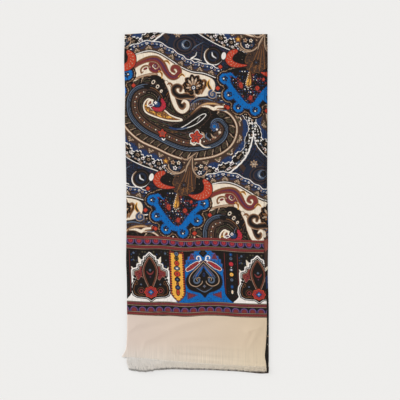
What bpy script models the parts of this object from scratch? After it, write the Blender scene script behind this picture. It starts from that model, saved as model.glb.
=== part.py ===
"""Silk scarf, folded in half along its length and then in thirds, lying flat.

The top third shows, from the far fold to the near fringe: printed field, printed border, plain woven end and
fringe. The third that lies on the table is one wall with it round the far fold, and turns up at the near fold
to lap over the hidden layers, which are one rounded solid with the edges of its plies along both sides.

Metres, +X to the right, +Y from the fringe to the far fold, +Z up. The origin is on the table, at the middle
of the folded scarf. The tables are in millimetres.
"""

import math
from collections import namedtuple

import bmesh
import bpy
from mathutils import Vector

MM = 0.001

# Driving sizes: the folded cloth's wall, the gap at its seams, and the height of the pack at the far fold.
WALL = 1.2 * MM
GAP = 0.3 * MM
PACK_HEIGHT = 6.0 * MM

# What follows from them: the far fold goes round the whole pack, and the near fold round the layers under
# the top one.
INNER_LOW = WALL + GAP
LOWER_TOP = PACK_HEIGHT - WALL - GAP
FAR_RADIUS = PACK_HEIGHT / 2
NEAR_RADIUS = LOWER_TOP / 2

# How far the near fold laps back over the hidden layers, the ramp where they rise again behind the lap, and
# the room that they leave inside each fold.
NEAR_LAP = 11 * MM
LAP_RAMP = 5 * MM
FOLD_ROOM = 2.5 * MM

# Steps of the walls: columns across, the longest step along the top third and along the flat layers, the
# segments of a quarter turn with the short one at its seam, and the eased rim.
COLUMNS = 16
STEP = 13.5 * MM
FLAT_STEP = 24 * MM
QUARTER_STEPS = 4
SEAM_TURN = math.radians(8)
RIM_WIDTH = 0.35 * MM
RIM_ANGLE = math.radians(60)

# Swells die away over this length at the far fold, which lies straight.
CALM_LENGTH = 25 * MM

# The hidden layers show two lips along each side. The upper lip stands back from the lower one. Their rings
# have a few columns across, and their ends are turned in these steps.
LIPS = 2
LIP_STEPS = 4
LEFT_SETBACK = 0.5 * MM
RIGHT_SETBACK = 1.4 * MM
INNER_COLUMNS = 4
END_TURNS = (math.radians(20), math.radians(50), math.radians(90))

# Lines across the cloth: for a place x, the y of the far fold, of the seams where the border, the plain end
# and the fringe begin, of the fringe's tips, and of the near fold. They lie a little off square, as silk
# does.
Across = namedtuple("Across", "x fold border plain fringe tips near")
ACROSS = (
    Across(-122, 300.0, -57.0, -198.0, -273.1, -295.8, -294.6),
    Across(-93, 301.6, -58.9, -199.7, -275.2, -298.9, -297.2),
    Across(-66, 302.8, -58.9, -200.5, -277.6, -295.0, -296.2),
    Across(-43, 301.4, -60.7, -200.6, -279.6, -293.6, -295.2),
    Across(-16, 300.2, -63.7, -202.0, -281.8, -294.0, -296.0),
    Across(20, 301.4, -61.7, -200.0, -284.2, -294.6, -296.4),
    Across(50, 300.7, -62.6, -200.5, -286.2, -295.7, -297.7),
    Across(80, 300.2, -65.1, -202.6, -288.0, -297.0, -299.4),
    Across(102, 299.0, -66.0, -203.2, -289.2, -298.8, -301.5),
    Across(118, 299.8, -66.6, -203.4, -289.8, -299.2, -302.8),
    Across(131, 299.6, -66.9, -203.6, -290.2, -299.0, -302.2),
)

# Long edges: for a place y, the x of the top third's edges and of the edges of the layers under it.
Along = namedtuple("Along", "y left right under_left under_right")
ALONG = (
    Along(303, -125.7, 124.6, -124.2, 128.2),
    Along(250, -127.6, 124.6, -126.0, 128.7),
    Along(190, -126.0, 122.6, -124.8, 128.2),
    Along(155, -126.7, 122.3, -125.3, 128.3),
    Along(112, -125.7, 122.3, -124.4, 128.3),
    Along(40, -123.9, 122.3, -122.7, 127.8),
    Along(-60, -123.9, 121.3, -122.6, 129.7),
    Along(-105, -124.1, 122.7, -122.8, 129.0),
    Along(-137, -122.7, 124.6, -121.5, 129.1),
    Along(-172, -121.9, 126.4, -120.6, 130.3),
    Along(-230, -121.1, 126.4, -119.8, 130.5),
    Along(-254, -121.8, 124.9, -119.7, 130.5),
    Along(-273, -122.2, 123.6, -119.5, 130.5),
    Along(-284, -122.0, 125.4, -119.2, 130.5),
    Along(-296, -118.4, 126.6, -116.6, 130.5),
    Along(-303, -117.0, 126.6, -115.8, 130.0),
)

# The woven end's near left corner sticks out along the seam with the fringe, and the edge flares towards it.
CORNER_REACH = 8.4 * MM
CORNER_FLARE = 3.0 * MM

# Soft swells of the top third: the middle of each, the heading of its crest in degrees from +X, how far it
# reaches along the crest and across it, and its height.
Swell = namedtuple("Swell", "x y heading reach width height")
SWELLS = (
    Swell(-70, 215, 96, 95, 30, 1.1),
    Swell(45, 130, 84, 120, 34, 1.2),
    Swell(-18, -10, 88, 110, 26, 1.3),
    Swell(84, -70, 97, 95, 24, 0.9),
    Swell(-86, -120, 82, 80, 26, 0.8),
    Swell(-100, -216, 152, 30, 13, 0.9),
    Swell(97, -232, 68, 36, 12, 1.5),
    Swell(8, -243, 12, 60, 18, 0.9),
    Swell(-45, -262, 90, 26, 14, 0.7),
)

# The finish of each piece: sRGB colour, roughness and metallic value.
Finish = namedtuple("Finish", "colour roughness metallic")
FINISHES = {
    "front_field": Finish((0.25, 0.20, 0.20), 0.50, 0.0),
    "front_border": Finish((0.22, 0.16, 0.18), 0.50, 0.0),
    "front_end": Finish((0.85, 0.78, 0.72), 0.45, 0.0),
    "front_fringe": Finish((0.80, 0.74, 0.68), 0.60, 0.0),
    "inner_layers": Finish((0.14, 0.11, 0.12), 0.55, 0.0),
    "back_panel": Finish((0.22, 0.18, 0.20), 0.55, 0.0),
}


def clear_scene():
    """Starts from an empty file."""
    for thing in list(bpy.data.objects):
        bpy.data.objects.remove(thing, do_unlink=True)


def mix(first, second, share):
    return first + (second - first) * share


def read(table, key, column, at):
    """The named column of a table where its key column is at, in metres, on straight lines between rows."""
    rows = sorted(table, key=lambda row: getattr(row, key))
    at_mm = min(max(at / MM, getattr(rows[0], key)), getattr(rows[-1], key))
    for low, high in zip(rows, rows[1:]):
        start = getattr(low, key)
        end = getattr(high, key)
        if at_mm <= end:
            share = (at_mm - start) / (end - start)
            return mix(getattr(low, column), getattr(high, column), share) * MM
    return getattr(rows[-1], column) * MM


def line(name, share):
    """The y of a line across the cloth, at a share of the width from the left edge to the right."""
    return read(ACROSS, "x", name, mix(ACROSS[0].x, ACROSS[-1].x, share) * MM)


def top_x(share, y):
    """The x of a share of the width on the top third."""
    return mix(read(ALONG, "y", "left", y), read(ALONG, "y", "right", y), share)


def under_x(share, y):
    """The x of a share of the width on the layers under it."""
    return mix(read(ALONG, "y", "under_left", y), read(ALONG, "y", "under_right", y), share)


def lift(x, y, fold_y):
    """How far the top third lifts at a place: the sum of its swells, calm towards the far fold."""
    height = 0.0
    for swell in SWELLS:
        heading = math.radians(swell.heading)
        dx = x - swell.x * MM
        dy = y - swell.y * MM
        along = (dx * math.cos(heading) + dy * math.sin(heading)) / (swell.reach * MM)
        across = (dy * math.cos(heading) - dx * math.sin(heading)) / (swell.width * MM)
        height += swell.height * MM * math.exp(-along * along - across * across)
    calm = min(max((fold_y - FAR_RADIUS - y) / CALM_LENGTH, 0.0), 1.0)
    return height * calm * calm * (3 - 2 * calm)


def top_point(share, y):
    """A point on the upper side of the top third."""
    x = top_x(share, y)
    return Vector((x, y, PACK_HEIGHT + lift(x, y, line("fold", share))))


def far_fold_point(share, angle, x_of):
    """A point on the outside of the far fold. The angle goes from -90 degrees at the table to 90 on top."""
    y = line("fold", share) - FAR_RADIUS * (1 - math.cos(angle))
    return Vector((x_of(share, y), y, FAR_RADIUS * (1 + math.sin(angle))))


def near_fold_point(share, angle):
    """A point on the outside of the near fold, by the same angle."""
    y = line("near", share) + NEAR_RADIUS * (1 - math.cos(angle))
    return Vector((under_x(share, y), y, NEAR_RADIUS * (1 + math.sin(angle))))


def column_shares():
    """The shares of the width where the walls have their columns."""
    return [column / COLUMNS for column in range(COLUMNS + 1)]


def row_count(first, last, step):
    """How many steps the stretch between two lines takes, from its length at the left edge."""
    return math.ceil(abs(line(first, 0) - line(last, 0)) / step)


def stretch_rows(first, last, trim_first=GAP / 2, trim_last=GAP / 2):
    """Rows of a stretch of the top third between two lines, trimmed back from both."""
    count = row_count(first, last, STEP)
    rows = []
    for step in range(count + 1):
        row = []
        for share in column_shares():
            start = line(first, share) - trim_first
            end = line(last, share) + trim_last
            row.append(top_point(share, mix(start, end, step / count)))
        rows.append(row)
    return rows


def far_fold_rows(side, x_of):
    """Rows of a quarter turn of the far fold, from the seam at half height: side is 1 for up, -1 for down.

    A first short step stands upright, so that the two walls meet squarely at the seam.
    """
    angles = [GAP / 2 / FAR_RADIUS, SEAM_TURN]
    angles += [mix(SEAM_TURN, math.pi / 2, step / QUARTER_STEPS) for step in range(1, QUARTER_STEPS + 1)]
    return [[far_fold_point(share, side * angle, x_of) for share in column_shares()] for angle in angles]


def field_rows():
    """Rows of the printed field: over the far fold, then flat to the border."""
    turn = far_fold_rows(1, top_x)
    flat = stretch_rows("fold", "border", trim_first=FAR_RADIUS)
    return turn + flat[1:]


def end_rows():
    """Rows of the plain end, with its near left corner drawn out along the seam."""
    rows = stretch_rows("plain", "fringe")
    corner, neighbour = rows[-1][:2]
    corner += (corner - neighbour).normalized() * CORNER_REACH
    rows[-2][0].x -= CORNER_FLARE
    return rows


def back_rows():
    """Rows of the back third: down the far fold, along the table, round the near fold and back over the lap.

    Each runs from right to left, so that the outer side of the wall faces the table.
    """
    rows = far_fold_rows(-1, under_x)
    count = row_count("fold", "near", FLAT_STEP)
    for step in range(1, count):
        row = []
        for share in column_shares():
            start = line("fold", share) - FAR_RADIUS
            end = line("near", share) + NEAR_RADIUS
            y = mix(start, end, step / count)
            row.append(Vector((under_x(share, y), y, 0.0)))
        rows.append(row)
    for step in range(2 * QUARTER_STEPS + 1):
        angle = mix(-math.pi / 2, math.pi / 2, step / (2 * QUARTER_STEPS))
        rows.append([near_fold_point(share, angle) for share in column_shares()])
    lap = []
    for share in column_shares():
        y = line("near", share) + NEAR_LAP
        lap.append(Vector((under_x(share, y), y, LOWER_TOP)))
    rows.append(lap)
    return [row[::-1] for row in rows]


def cloth_wall(name, rows, collection):
    """A wall of cloth: a grid laid through the rows, thickened to its inner side, with its rims eased."""
    form = bmesh.new()
    bmesh.ops.create_grid(form, x_segments=COLUMNS, y_segments=len(rows) - 1, size=1.0)
    by_row = sorted(form.verts, key=lambda vert: (-round(vert.co.y, 5), vert.co.x))
    points = [point for row in rows for point in row]
    for vert, point in zip(by_row, points):
        vert.co = point
    mesh = bpy.data.meshes.new(name)
    form.to_mesh(mesh)
    form.free()
    wall = bpy.data.objects.new(name, mesh)
    collection.objects.link(wall)

    solid = wall.modifiers.new("wall", "SOLIDIFY")
    solid.thickness = WALL
    solid.offset = -1
    solid.use_even_offset = True
    rim = wall.modifiers.new("rim", "BEVEL")
    rim.limit_method = "ANGLE"
    rim.angle_limit = RIM_ANGLE
    rim.width = RIM_WIDTH
    rim.segments = 1
    return wall


def lip_profile(setback):
    """One side of the hidden layers, from low to high: distances inside the edge and shares of the height."""
    radius = (LOWER_TOP - INNER_LOW) / (2 * LIPS)
    profile = []
    for lip in range(LIPS):
        for step in range(LIP_STEPS + 1):
            angle = mix(-math.pi / 2, math.pi / 2, step / LIP_STEPS)
            inside = lip * setback + radius * (1 - math.cos(angle))
            height = (2 * lip + 1 + math.sin(angle)) / (2 * LIPS)
            profile.append((inside, height))
    return profile


def inner_stations():
    """Where the rings of the hidden layers lie: share of the way along, offset, lowest and highest z.

    They start inside the near fold, stay low under its lap, ramp up behind it, run on, and end inside the far
    fold.
    """
    near_half = NEAR_RADIUS - INNER_LOW
    far_half = FAR_RADIUS - INNER_LOW
    stations = []
    for turn in END_TURNS:
        half = near_half * math.sin(turn)
        offset = NEAR_RADIUS + FOLD_ROOM - near_half * math.cos(turn)
        stations.append((0.0, offset, NEAR_RADIUS - half, NEAR_RADIUS + half))
    stations.append((0.0, NEAR_LAP + FOLD_ROOM, INNER_LOW, NEAR_RADIUS + near_half))
    ramp_end = NEAR_LAP + FOLD_ROOM + LAP_RAMP
    far_end = -(FAR_RADIUS + FOLD_ROOM)
    count = row_count("near", "fold", FLAT_STEP)
    for step in range(count + 1):
        share = step / count
        stations.append((share, mix(ramp_end, far_end, share), INNER_LOW, LOWER_TOP))
    for turn in reversed(END_TURNS[:-1]):
        half = far_half * math.sin(turn)
        offset = far_end + far_half * math.cos(turn)
        stations.append((1.0, offset, FAR_RADIUS - half, FAR_RADIUS + half))
    return stations


def inner_point(share, inside, z, way, offset):
    """A point of the hidden layers, a share of the way across and along, moved by a distance in each."""
    y = mix(line("near", share), line("fold", share), way) + offset
    return Vector((under_x(share, y) + inside, y, z))


def hidden_layers(name, collection):
    """The hidden layers: rings across the pack, joined one to the next and closed at both ends."""
    left = lip_profile(LEFT_SETBACK)
    right = lip_profile(RIGHT_SETBACK)
    between = [column / INNER_COLUMNS for column in range(1, INNER_COLUMNS)]
    form = bmesh.new()
    rings = []
    for way, offset, low, high in inner_stations():
        ring = [inner_point(1, -inside, mix(low, high, part), way, offset) for inside, part in right]
        ring += [inner_point(share, 0, high, way, offset) for share in reversed(between)]
        ring += [inner_point(0, inside, mix(low, high, part), way, offset) for inside, part in reversed(left)]
        ring += [inner_point(share, 0, low, way, offset) for share in between]
        rings.append([form.verts.new(point) for point in ring])
    for here, there in zip(rings, rings[1:]):
        for index in range(len(here)):
            after = (index + 1) % len(here)
            form.faces.new((here[index], here[after], there[after], there[index]))
    form.faces.new(rings[0][::-1])
    form.faces.new(rings[-1])
    bmesh.ops.recalc_face_normals(form, faces=form.faces)
    mesh = bpy.data.meshes.new(name)
    form.to_mesh(mesh)
    form.free()
    layers = bpy.data.objects.new(name, mesh)
    collection.objects.link(layers)
    return layers


def finish_piece(piece):
    """Gives a piece its own material, and shades it smooth but for its rims."""
    finish = FINISHES[piece.name]
    material = bpy.data.materials.new(piece.name)
    material.use_nodes = True
    shader = material.node_tree.nodes["Principled BSDF"]
    linear = [((value + 0.055) / 1.055) ** 2.4 for value in finish.colour]
    shader.inputs["Base Color"].default_value = (*linear, 1.0)
    shader.inputs["Roughness"].default_value = finish.roughness
    shader.inputs["Metallic"].default_value = finish.metallic
    piece.data.materials.append(material)
    piece.data.shade_smooth()


def main():
    clear_scene()
    scarf = bpy.data.collections.new("silk_scarf")
    bpy.context.scene.collection.children.link(scarf)
    pieces = (
        cloth_wall("front_field", field_rows(), scarf),
        cloth_wall("front_border", stretch_rows("border", "plain"), scarf),
        cloth_wall("front_end", end_rows(), scarf),
        cloth_wall("front_fringe", stretch_rows("fringe", "tips", trim_last=0.0), scarf),
        cloth_wall("back_panel", back_rows(), scarf),
        hidden_layers("inner_layers", scarf),
    )
    for piece in pieces:
        finish_piece(piece)


main()
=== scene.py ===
# %% [markdown]
# # A printed silk scarf, folded and lying flat
# The scarf is a long cloth of thin silk twill. It is folded in half along its length, so that its left
# side is a fold and its right side shows the two hemmed edges, and then in thirds, so that the top third
# shows and the rest lies under it. The solids of the fold are fixed: every sheet below is laid on one of
# them.

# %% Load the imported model
import math
from collections import namedtuple

import bpy
import numpy as np
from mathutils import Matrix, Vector


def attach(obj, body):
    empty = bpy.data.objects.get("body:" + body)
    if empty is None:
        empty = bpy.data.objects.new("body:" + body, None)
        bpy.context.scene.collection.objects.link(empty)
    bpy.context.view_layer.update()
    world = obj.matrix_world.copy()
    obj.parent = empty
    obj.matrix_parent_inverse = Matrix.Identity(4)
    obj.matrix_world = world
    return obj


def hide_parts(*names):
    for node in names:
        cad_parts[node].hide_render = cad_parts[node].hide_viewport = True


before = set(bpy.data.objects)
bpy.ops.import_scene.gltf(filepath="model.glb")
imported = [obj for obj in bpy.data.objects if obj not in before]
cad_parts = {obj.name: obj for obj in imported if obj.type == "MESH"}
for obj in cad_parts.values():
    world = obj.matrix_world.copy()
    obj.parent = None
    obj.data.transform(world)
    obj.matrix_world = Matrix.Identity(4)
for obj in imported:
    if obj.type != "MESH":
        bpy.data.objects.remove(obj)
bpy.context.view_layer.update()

MM = 0.001
print("nodes", sorted(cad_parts))

# %% [markdown]
# ## Colours and nodes
# Colours are written as sRGB hex values and rendered in linear light, so one function turns one into the
# other. A second one adds a shader node with its settings and its links.

# %% Two helpers for materials
def linear(code):
    """The linear colour of an sRGB hex code such as "efdcc3"."""
    channels = [int(code[at:at + 2], 16) / 255 for at in (0, 2, 4)]
    return [value / 12.92 if value <= 0.04045 else ((value + 0.055) / 1.055) ** 2.4 for value in channels]


def add(tree, kind, links=(), **settings):
    """A node of a kind, with its settings. Links give each input a value or another node's output."""
    node = tree.nodes.new("ShaderNode" + kind)
    for name, value in settings.items():
        setattr(node, name, value)
    for name, value in dict(links).items():
        if isinstance(value, bpy.types.NodeSocket):
            tree.links.new(value, node.inputs[name])
        else:
            node.inputs[name].default_value = value
    return node


print("cream in linear light", [round(value, 3) for value in linear("efdcc3")])

# %% [markdown]
# ## The lines of the fold
# A folded scarf is never quite square. Its edges waver by a millimetre or two, and the printed rows run a
# little downhill to the right. The solids were laid through such lines, so the cloth takes nearly the
# same ones, in millimetres: its left edge and its far fold lie a millimetre or two further in. It runs
# through the rows of these tables on smooth curves, as silk does, where a solid runs straight from row to
# row.

# %% Lines across the scarf and along its edges
Across = namedtuple("Across", "x fold border plain fringe tips near")
ACROSS = (
    Across(-122, 298.4, -57.0, -198.0, -273.1, -295.8, -294.6),
    Across(-93, 300.3, -58.9, -199.7, -275.2, -298.9, -297.2),
    Across(-66, 301.9, -58.9, -200.5, -277.6, -295.0, -296.2),
    Across(-43, 299.9, -60.7, -200.6, -279.6, -293.6, -295.2),
    Across(-16, 298.8, -63.7, -202.0, -281.8, -294.0, -296.0),
    Across(20, 300.2, -61.7, -200.0, -284.2, -294.6, -296.4),
    Across(50, 299.4, -62.6, -200.5, -286.2, -295.7, -297.7),
    Across(80, 299.0, -65.1, -202.6, -288.0, -297.0, -299.4),
    Across(102, 298.3, -66.0, -203.2, -289.2, -298.8, -301.5),
    Across(118, 298.6, -66.6, -203.4, -289.8, -299.2, -302.8),
    Across(131, 298.9, -66.9, -203.6, -290.2, -299.0, -302.2),
)
Along = namedtuple("Along", "y left right under_left under_right")
ALONG = (
    Along(303, -124.7, 124.6, -123.2, 128.2),
    Along(250, -125.9, 124.6, -124.3, 128.7),
    Along(190, -124.3, 122.6, -123.1, 128.2),
    Along(155, -124.8, 122.3, -123.4, 128.3),
    Along(112, -123.9, 122.3, -122.6, 128.3),
    Along(40, -122.2, 122.3, -121.0, 127.8),
    Along(-60, -121.9, 121.3, -120.6, 129.7),
    Along(-105, -122.4, 122.7, -121.1, 129.0),
    Along(-137, -121.2, 124.6, -120.0, 129.1),
    Along(-172, -120.9, 126.4, -119.6, 130.3),
    Along(-230, -120.7, 126.4, -119.4, 130.5),
    Along(-254, -121.6, 124.9, -119.5, 130.5),
    Along(-273, -121.9, 123.6, -119.2, 130.5),
    Along(-284, -121.4, 125.4, -118.6, 130.5),
    Along(-296, -117.8, 126.6, -116.0, 130.5),
    Along(-303, -116.6, 126.6, -115.4, 130.0),
)


def read(table, key, column, at):
    """The named column of a table where its key column is at, on a smooth curve through the rows."""
    rows = sorted(table, key=lambda row: getattr(row, key))
    keys = np.array([getattr(row, key) for row in rows], float)
    values = np.array([getattr(row, column) for row in rows], float)
    slopes = np.gradient(values, keys)
    at = np.clip(at, keys[0], keys[-1])
    cell = np.clip(np.searchsorted(keys, at) - 1, 0, len(keys) - 2)
    step = keys[cell + 1] - keys[cell]
    t = (at - keys[cell]) / step
    start = values[cell] * (1 + 2 * t) * (1 - t) ** 2 + slopes[cell] * step * t * (1 - t) ** 2
    end = values[cell + 1] * (3 - 2 * t) * t**2 - slopes[cell + 1] * step * t**2 * (1 - t)
    return start + end


def line(name, share):
    """The y of a line across the scarf, at a share of its width from the left."""
    return read(ACROSS, "x", name, ACROSS[0].x + (ACROSS[-1].x - ACROSS[0].x) * share)


print("length at the middle", round(float(line("fold", 0.5) - line("near", 0.5)), 1), "mm")

# %% [markdown]
# ## How silk lies
# Thin silk on a table keeps broad, soft swells from its folding, and lies quite flat at the fold itself.
# The swells are the same that the solids have. The creases on top of them are finer: each is a soft ridge
# or, with a height below zero, a trough, and it dies away at both ends. They are placed one by one: a
# simulated cloth would forget where the real one was pressed. A faint unevenness of tenths of a
# millimetre runs over all, and makes the sheen wander.

# %% Swells, creases and the height of the top third
Swell = namedtuple("Swell", "x y heading reach width height")
SWELLS = (
    Swell(-70, 215, 96, 95, 30, 1.1),
    Swell(45, 130, 84, 120, 34, 1.2),
    Swell(-18, -10, 88, 110, 26, 1.3),
    Swell(84, -70, 97, 95, 24, 0.9),
    Swell(-86, -120, 82, 80, 26, 0.8),
    Swell(-100, -216, 152, 30, 13, 0.9),
    Swell(97, -232, 68, 36, 12, 1.1),
    Swell(8, -243, 12, 60, 18, 0.9),
    Swell(-45, -262, 90, 26, 14, 0.7),
)
CREASES = (
    Swell(-58, 262, 78, 46, 7, 0.5),
    Swell(62, 240, 104, 60, 8, -0.5),
    Swell(-96, 120, 84, 70, 7, -0.45),
    Swell(18, 62, 97, 80, 8, 0.5),
    Swell(96, 30, 88, 60, 7, -0.4),
    Swell(-60, -30, 95, 50, 6, 0.45),
    Swell(40, -150, 82, 44, 6, -0.45),
    Swell(-84, -221, 10, 26, 7, -0.6),
    Swell(-14, -214, 12, 62, 7, 0.5),
    Swell(58, -211, 166, 40, 6, -0.45),
    Swell(106, -236, 62, 26, 5, 0.5),
    Swell(94, -246, 66, 24, 5, -0.42),
    Swell(101, -225, 18, 13, 3.6, 0.4),
    Swell(93, -229, 128, 14, 3.6, 0.35),
    Swell(-112, -224, 40, 18, 4, 0.35),
    Swell(-66, -236, 24, 34, 6, 0.45),
    Swell(-6, -246, 4, 70, 5, -0.4),
    Swell(40, -256, 176, 60, 4, 0.35),
    Swell(-92, -256, 70, 16, 4, 0.4),
    Swell(20, -272, 176, 70, 2.6, -0.5),
    Swell(66, -280, 174, 60, 2.4, -0.55),
    Swell(10, -278, 177, 60, 2.2, 0.35),
    Swell(-34, -266, 118, 12, 2.5, -0.5),
)
PACK_HEIGHT = 6.0
HALF_LENGTH = 300.0
FAR_RADIUS = PACK_HEIGHT / 2
CALM_LENGTH = 25.0


def swelling(table, x, y):
    """The sum of the swells of a table at places x, y."""
    height = 0.0
    for swell in table:
        heading = math.radians(swell.heading)
        along = ((x - swell.x) * math.cos(heading) + (y - swell.y) * math.sin(heading)) / swell.reach
        across = ((y - swell.y) * math.cos(heading) - (x - swell.x) * math.sin(heading)) / swell.width
        height = height + swell.height * np.exp(-along * along - across * across)
    return height


def unevenness(x, y, lengths, height, seed):
    """A faint wandering of the surface: slow waves of these lengths, each with a heading of its own."""
    chance = np.random.default_rng(seed)
    total = 0.0
    for length in lengths:
        heading, phase = chance.uniform(0, 2 * math.pi, 2)
        way = (x * math.cos(heading) + y * math.sin(heading)) / length
        total = total + np.sin(2 * math.pi * way + phase)
    return total * height / math.sqrt(len(lengths))


def top_height(x, y, fold_y=HALF_LENGTH):
    """The height of the top third over the table, which is calm next to the far fold at fold_y."""
    calm = np.clip((fold_y - FAR_RADIUS - y) / CALM_LENGTH, 0, 1)
    calm = calm * calm * (3 - 2 * calm)
    soft = unevenness(x, y, (17, 23, 29, 37, 46, 58), height=0.12, seed=3)
    return PACK_HEIGHT + calm * (swelling(SWELLS, x, y) + swelling(CREASES, x, y) + soft)


print("highest swell", round(float(top_height(97.0, -232.0)), 2), "mm")

# %% [markdown]
# ## One sheet, with its edges turned under
# A sheet of silk has next to no thickness, so what the eye reads as its edge is a turn of the cloth: at
# the left the scarf is folded, and comes back as the ply below, and at the right it ends in a narrow hem,
# rolled and stitched by hand. Both turns are columns of the same grid, so that cloth and edge are one
# surface. A grid is laid through rows of points. Solidifying it would double its faces for no gain.

# %% Columns across a sheet, and a mesh through a grid of points
Columns = namedtuple("Columns", "share inset depth run")
TURN_STEPS = 5
HIDDEN_SPACING = 1.1


def turned_edge(radius, back):
    """An edge from its hidden end to the top of its turn: distances inside the edge, below the top, and run.

    The run is the length of cloth from the top of the turn, by which the print carries on round it.
    """
    angles = np.linspace(-math.pi / 2, math.pi / 2, TURN_STEPS + 1)
    hidden = np.arange(back, radius, -HIDDEN_SPACING)
    inset = np.concatenate([hidden, radius * (1 - np.cos(angles))])
    depth = np.concatenate([np.full(len(hidden), 2 * radius), radius * (1 - np.sin(angles))])
    turn = radius * (math.pi / 2 - angles)
    run = np.concatenate([math.pi * radius + hidden - radius, turn])
    return inset, depth, run


def across_columns(width, spacing, fold_radius, fold_back, hem_radius, hem_back):
    """The columns of a sheet: a folded left edge, the open cloth, and a hemmed right edge."""
    fold = turned_edge(fold_radius, fold_back)
    hem = turned_edge(hem_radius, hem_back)
    count = round(width / spacing)
    share = np.arange(1, count) / count
    zeros = np.zeros(count - 1)
    return Columns(
        np.concatenate([np.zeros(len(fold[0])), share, np.ones(len(hem[0]))]),
        np.concatenate([fold[0], fold_radius * (1 - share) - hem_radius * share, -hem[0][::-1]]),
        np.concatenate([fold[1], zeros, hem[1][::-1]]),
        np.concatenate([-fold[2], zeros, hem[2][::-1]]),
    )


def cloth_mesh(name, points):
    """A piece through a grid of points in millimetres, rows by columns, with UV space spread over it."""
    rows, columns = points.shape[:2]
    mesh = bpy.data.meshes.new(name)
    mesh.vertices.add(rows * columns)
    mesh.vertices.foreach_set("co", (points * MM).ravel())
    index = np.arange(rows * columns).reshape(rows, columns)
    corners = np.stack([index[:-1, :-1], index[1:, :-1], index[1:, 1:], index[:-1, 1:]], axis=-1).reshape(-1)
    mesh.loops.add(len(corners))
    mesh.polygons.add(len(corners) // 4)
    mesh.loops.foreach_set("vertex_index", corners)
    mesh.polygons.foreach_set("loop_start", np.arange(0, len(corners), 4))
    mesh.update(calc_edges=True)
    mesh.shade_smooth()
    flat = np.stack(np.meshgrid(np.linspace(0, 1, columns), np.linspace(1, 0, rows)), axis=-1).reshape(-1, 2)
    mesh.uv_layers.new(name="OFBake").data.foreach_set("uv", flat[corners].ravel())
    piece = bpy.data.objects.new(name, mesh)
    bpy.context.scene.collection.objects.link(piece)
    print(name, rows, "x", columns, "points,", len(corners) // 2, "triangles")
    return piece


# %% [markdown]
# ## The top third
# The print is one continuous design, but the cloth is made in three stretches, as the solids are: the
# field, which also rolls over the far fold, the border, and the plain end. Neighbours share their seam
# line, so no gap shows. The plain end has no hem: its last rows pucker where the weft was pulled out to
# free the fringe, and a loose woven corner sticks out at the left.

# %% Lay the field, the border and the plain end
PLAN_LEFT = -125.1
PLAN_TOP = 1.2
PLAN_WIDTH = 250.0
FOLD_STEPS = 5
EDGE_X = {"top": ("left", "right"), "under": ("under_left", "under_right")}
TOP = dict(fold_radius=0.75, fold_back=8.0, hem_radius=0.62, hem_back=4.0)
CORNER_REACH = 8.4
CORNER_LENGTH = 9.0
CORNER_WIDTH = 16.0


def edge_x(layer, columns, y):
    """The x of each column at places y, from the left and right edges of a layer."""
    left, right = (read(ALONG, "y", side, y) for side in EDGE_X[layer])
    return left + (right - left) * columns.share + columns.inset


def flat_stretch(columns, first, last, spacing):
    """Points of a stretch of the top third between two lines, with rows about a spacing apart."""
    start = line(first, columns.share) - (FAR_RADIUS if first == "fold" else 0)
    end = line(last, columns.share)
    rows = math.ceil((start - end).max() / spacing)
    way = np.linspace(0, 1, rows + 1)[:, None]
    y = start + (end - start) * way
    x = edge_x("top", columns, y)
    z = top_height(x, y, line("fold", columns.share)) - columns.depth
    return np.stack([x, y, z], axis=-1)


def far_fold(columns, layer, angles):
    """Points round the far fold, at angles from the table, -90 degrees, to the top, 90."""
    turn = np.array(angles)[:, None]
    radius = FAR_RADIUS - columns.depth
    y = line("fold", columns.share) - FAR_RADIUS + radius * np.cos(turn)
    x = edge_x(layer, columns, y)
    z = FAR_RADIUS + radius * np.sin(turn)
    return np.stack([x, y, z], axis=-1)


def places(columns, points):
    """Where points of the top third lie on the printed design: u across, and v down from the far fold."""
    run_in = np.where(columns.run != 0, columns.run - columns.inset, 0)
    return points[..., 0] - PLAN_LEFT + run_in, line("fold", columns.share) + PLAN_TOP - points[..., 1]


field_columns = across_columns(PLAN_WIDTH, spacing=1.04, **TOP)
over_fold = far_fold(field_columns, "top", np.linspace(0, math.pi / 2, FOLD_STEPS + 1))
below_fold = flat_stretch(field_columns, "fold", "border", spacing=1.0)
field_points = np.concatenate([over_fold[:-1], below_fold])
field = cloth_mesh("printed_field", field_points)

border_columns = across_columns(PLAN_WIDTH, spacing=0.64, **TOP)
border_points = flat_stretch(border_columns, "border", "plain", spacing=0.64)
border = cloth_mesh("printed_border", border_points)


def pucker(x, above):
    """Fine upright puckers, strongest at the fringe and gone two centimetres above it."""
    ripple = np.sin(2 * math.pi * (x / 4.1 + 0.35 * np.sin(x / 11))) + 0.6 * np.sin(2 * math.pi * x / 6.7)
    patchy = 0.6 + 0.4 * np.sin(x / 17 + 1)
    return 0.16 * ripple * patchy * np.exp(-above / 10)


end_columns = across_columns(PLAN_WIDTH, spacing=0.8, **TOP)
end_points = flat_stretch(end_columns, "plain", "fringe", spacing=1.0)
above_fringe = end_points[..., 1] - line("fringe", end_columns.share)
from_left = end_columns.share * PLAN_WIDTH + end_columns.inset
pull = np.exp(-(above_fringe / CORNER_LENGTH) ** 1.5) * np.exp(-from_left / CORNER_WIDTH)
end_points[..., 0] -= CORNER_REACH * pull
end_points[..., 2] += pucker(end_points[..., 0], above_fringe)
plain_end = cloth_mesh("plain_end", end_points)

# %% [markdown]
# ## The fringe
# The fringe is the cloth itself: the last two centimetres of the weft were pulled out, so that the warp
# threads hang free. Each thread is a thin three-sided tube along its own wandering path. They are drawn
# thicker than silk, in small groups that lean together, and the ply below has threads of its own that end
# a little further out.

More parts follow.
